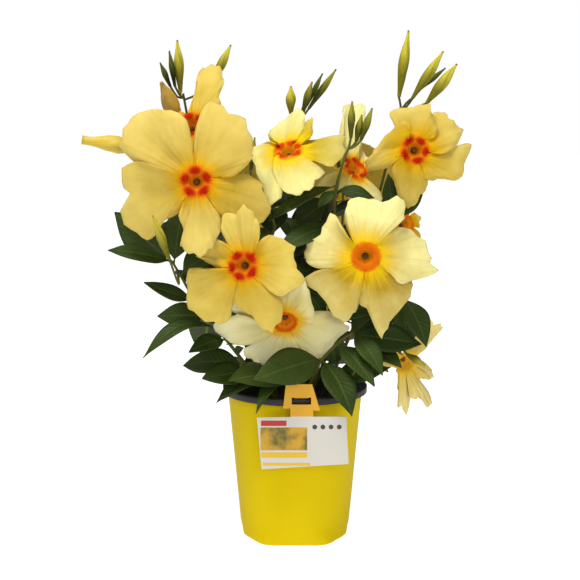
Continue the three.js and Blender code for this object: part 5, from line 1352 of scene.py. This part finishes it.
def hanging_label():
    """The hanging label: the model's own sheet with orange above, and plain printed shapes."""
    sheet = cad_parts["plant_label"].copy()
    sheet.data = sheet.data.copy()
    bpy.context.scene.collection.objects.link(sheet)
    card_top = LABEL["card_top"] / 1000
    made = bmesh.new()
    made.from_mesh(sheet.data)
    bmesh.ops.remove_doubles(made, verts=made.verts, dist=1e-6)
    whole = made.verts[:] + made.edges[:] + made.faces[:]
    bmesh.ops.bisect_plane(made, geom=whole, plane_co=(0, 0, card_top), plane_no=(0, 0, 1))
    made.to_mesh(sheet.data)
    made.free()
    sheet.data.materials.clear()
    sheet.data.materials.append(CARD)
    sheet.data.materials.append(ORANGE_CARD)
    for face in sheet.data.polygons:
        face.material_index = int(face.center.z > card_top - 0.0001)
        face.use_smooth = False
    prints = [
        printed("heading", block(-31.5, 122, -8, 127), PRINT_RED),
        printed("picture", block(-32, 99, 11, 120.5), PRINT_GREEN),
        printed("band", block(-31.5, 92, 11, 97), PRINT_YELLOW),
        printed("base", block(-30, 84.5, 14, 87), PRINT_YELLOW),
        *(printed(f"symbol_{k}", disc(18 + 7.5 * k, 121, 2.2), PRINT_DARK) for k in range(4)),
    ]
    return joined([sheet, *prints], "printed_label")


# Everything in its place
grow()
finished(outer_pot(), "outer_pot")
finished(nursery_pot(), "nursery_pot")
finished(soil(), "soil")
finished(hanging_label(), "plant_label")
for name, bloom in BLOOMS.items():
    finished(open_bloom(name, bloom), name)
for name, flower in FURLED.items():
    finished(closed_flower(name, flower), name)
for name, shoot in SHOOTS.items():
    finished(leafy_stem(name, shoot), name)


# Floor, light and camera
def white_room():
    world = bpy.data.worlds.new("white_room")
    world.use_nodes = True
    bpy.context.scene.world = world
    world.node_tree.nodes.clear()
    n = Nodes(world.node_tree)
    seen = n.add("ShaderNodeBackground", {"Color": (1, 1, 1, 1), "Strength": 1.0})[0]
    lit = n.add("ShaderNodeBackground", {"Color": (1, 0.995, 0.985, 1), "Strength": 0.28})[0]
    straight = n.add("ShaderNodeLightPath")["Is Camera Ray"]
    both = n.add("ShaderNodeMixShader", {0: straight, 1: lit, 2: seen})[0]
    n.add("ShaderNodeOutputWorld", {"Surface": both})


def soft_light(name, at, aim, size, power):
    lamp = bpy.data.lights.new(name, "AREA")
    lamp.size = size
    lamp.energy = power
    made = placed(name, lamp)
    made.location = at
    made.rotation_euler = (Vector(aim) - Vector(at)).to_track_quat("-Z", "Y").to_euler()


def pale_floor():
    """A wide pale floor, which glows less on the object than to the camera."""
    mesh = bpy.data.meshes.new("floor")
    mesh.from_pydata([(-9, -9, 0), (9, -9, 0), (9, 9, 0), (-9, 9, 0)], [], [(0, 1, 2, 3)])
    pale = plain(
        "pale_floor", (240, 240, 239), (237, 237, 236), 4.0, 0.3, roughness=0.8, Emission_Color=(1, 1, 1, 1),
    )
    n = Nodes(pale.node_tree)
    glow = Value(n, n.add("ShaderNodeLightPath")["Is Camera Ray"]) * 0.4 + 0.4
    n.feed(n.tree.nodes["Principled BSDF"].inputs["Emission Strength"], glow)
    mesh.materials.append(pale)
    return placed("floor", mesh)


def front_camera():
    lens = bpy.data.cameras.new("camera")
    lens.lens = 84.66
    lens.sensor_width = 36
    lens.clip_start = 0.1
    camera = placed("camera", lens)
    camera.location = (-0.0048, -1.3, 0.42)
    camera.rotation_euler = (math.radians(90 - 7.97), 0, 0)
    return camera


white_room()
soft_light("overhead", (-0.3, -0.5, 1.5), (0, 0, 0.25), 0.5, 14)
soft_light("front", (0.3, -1.5, 0.75), (0, 0, 0.2), 0.7, 5.5)
floor_piece = pale_floor()
bpy.context.scene.camera = front_camera()
bpy.context.scene.view_settings.view_transform = "Standard"
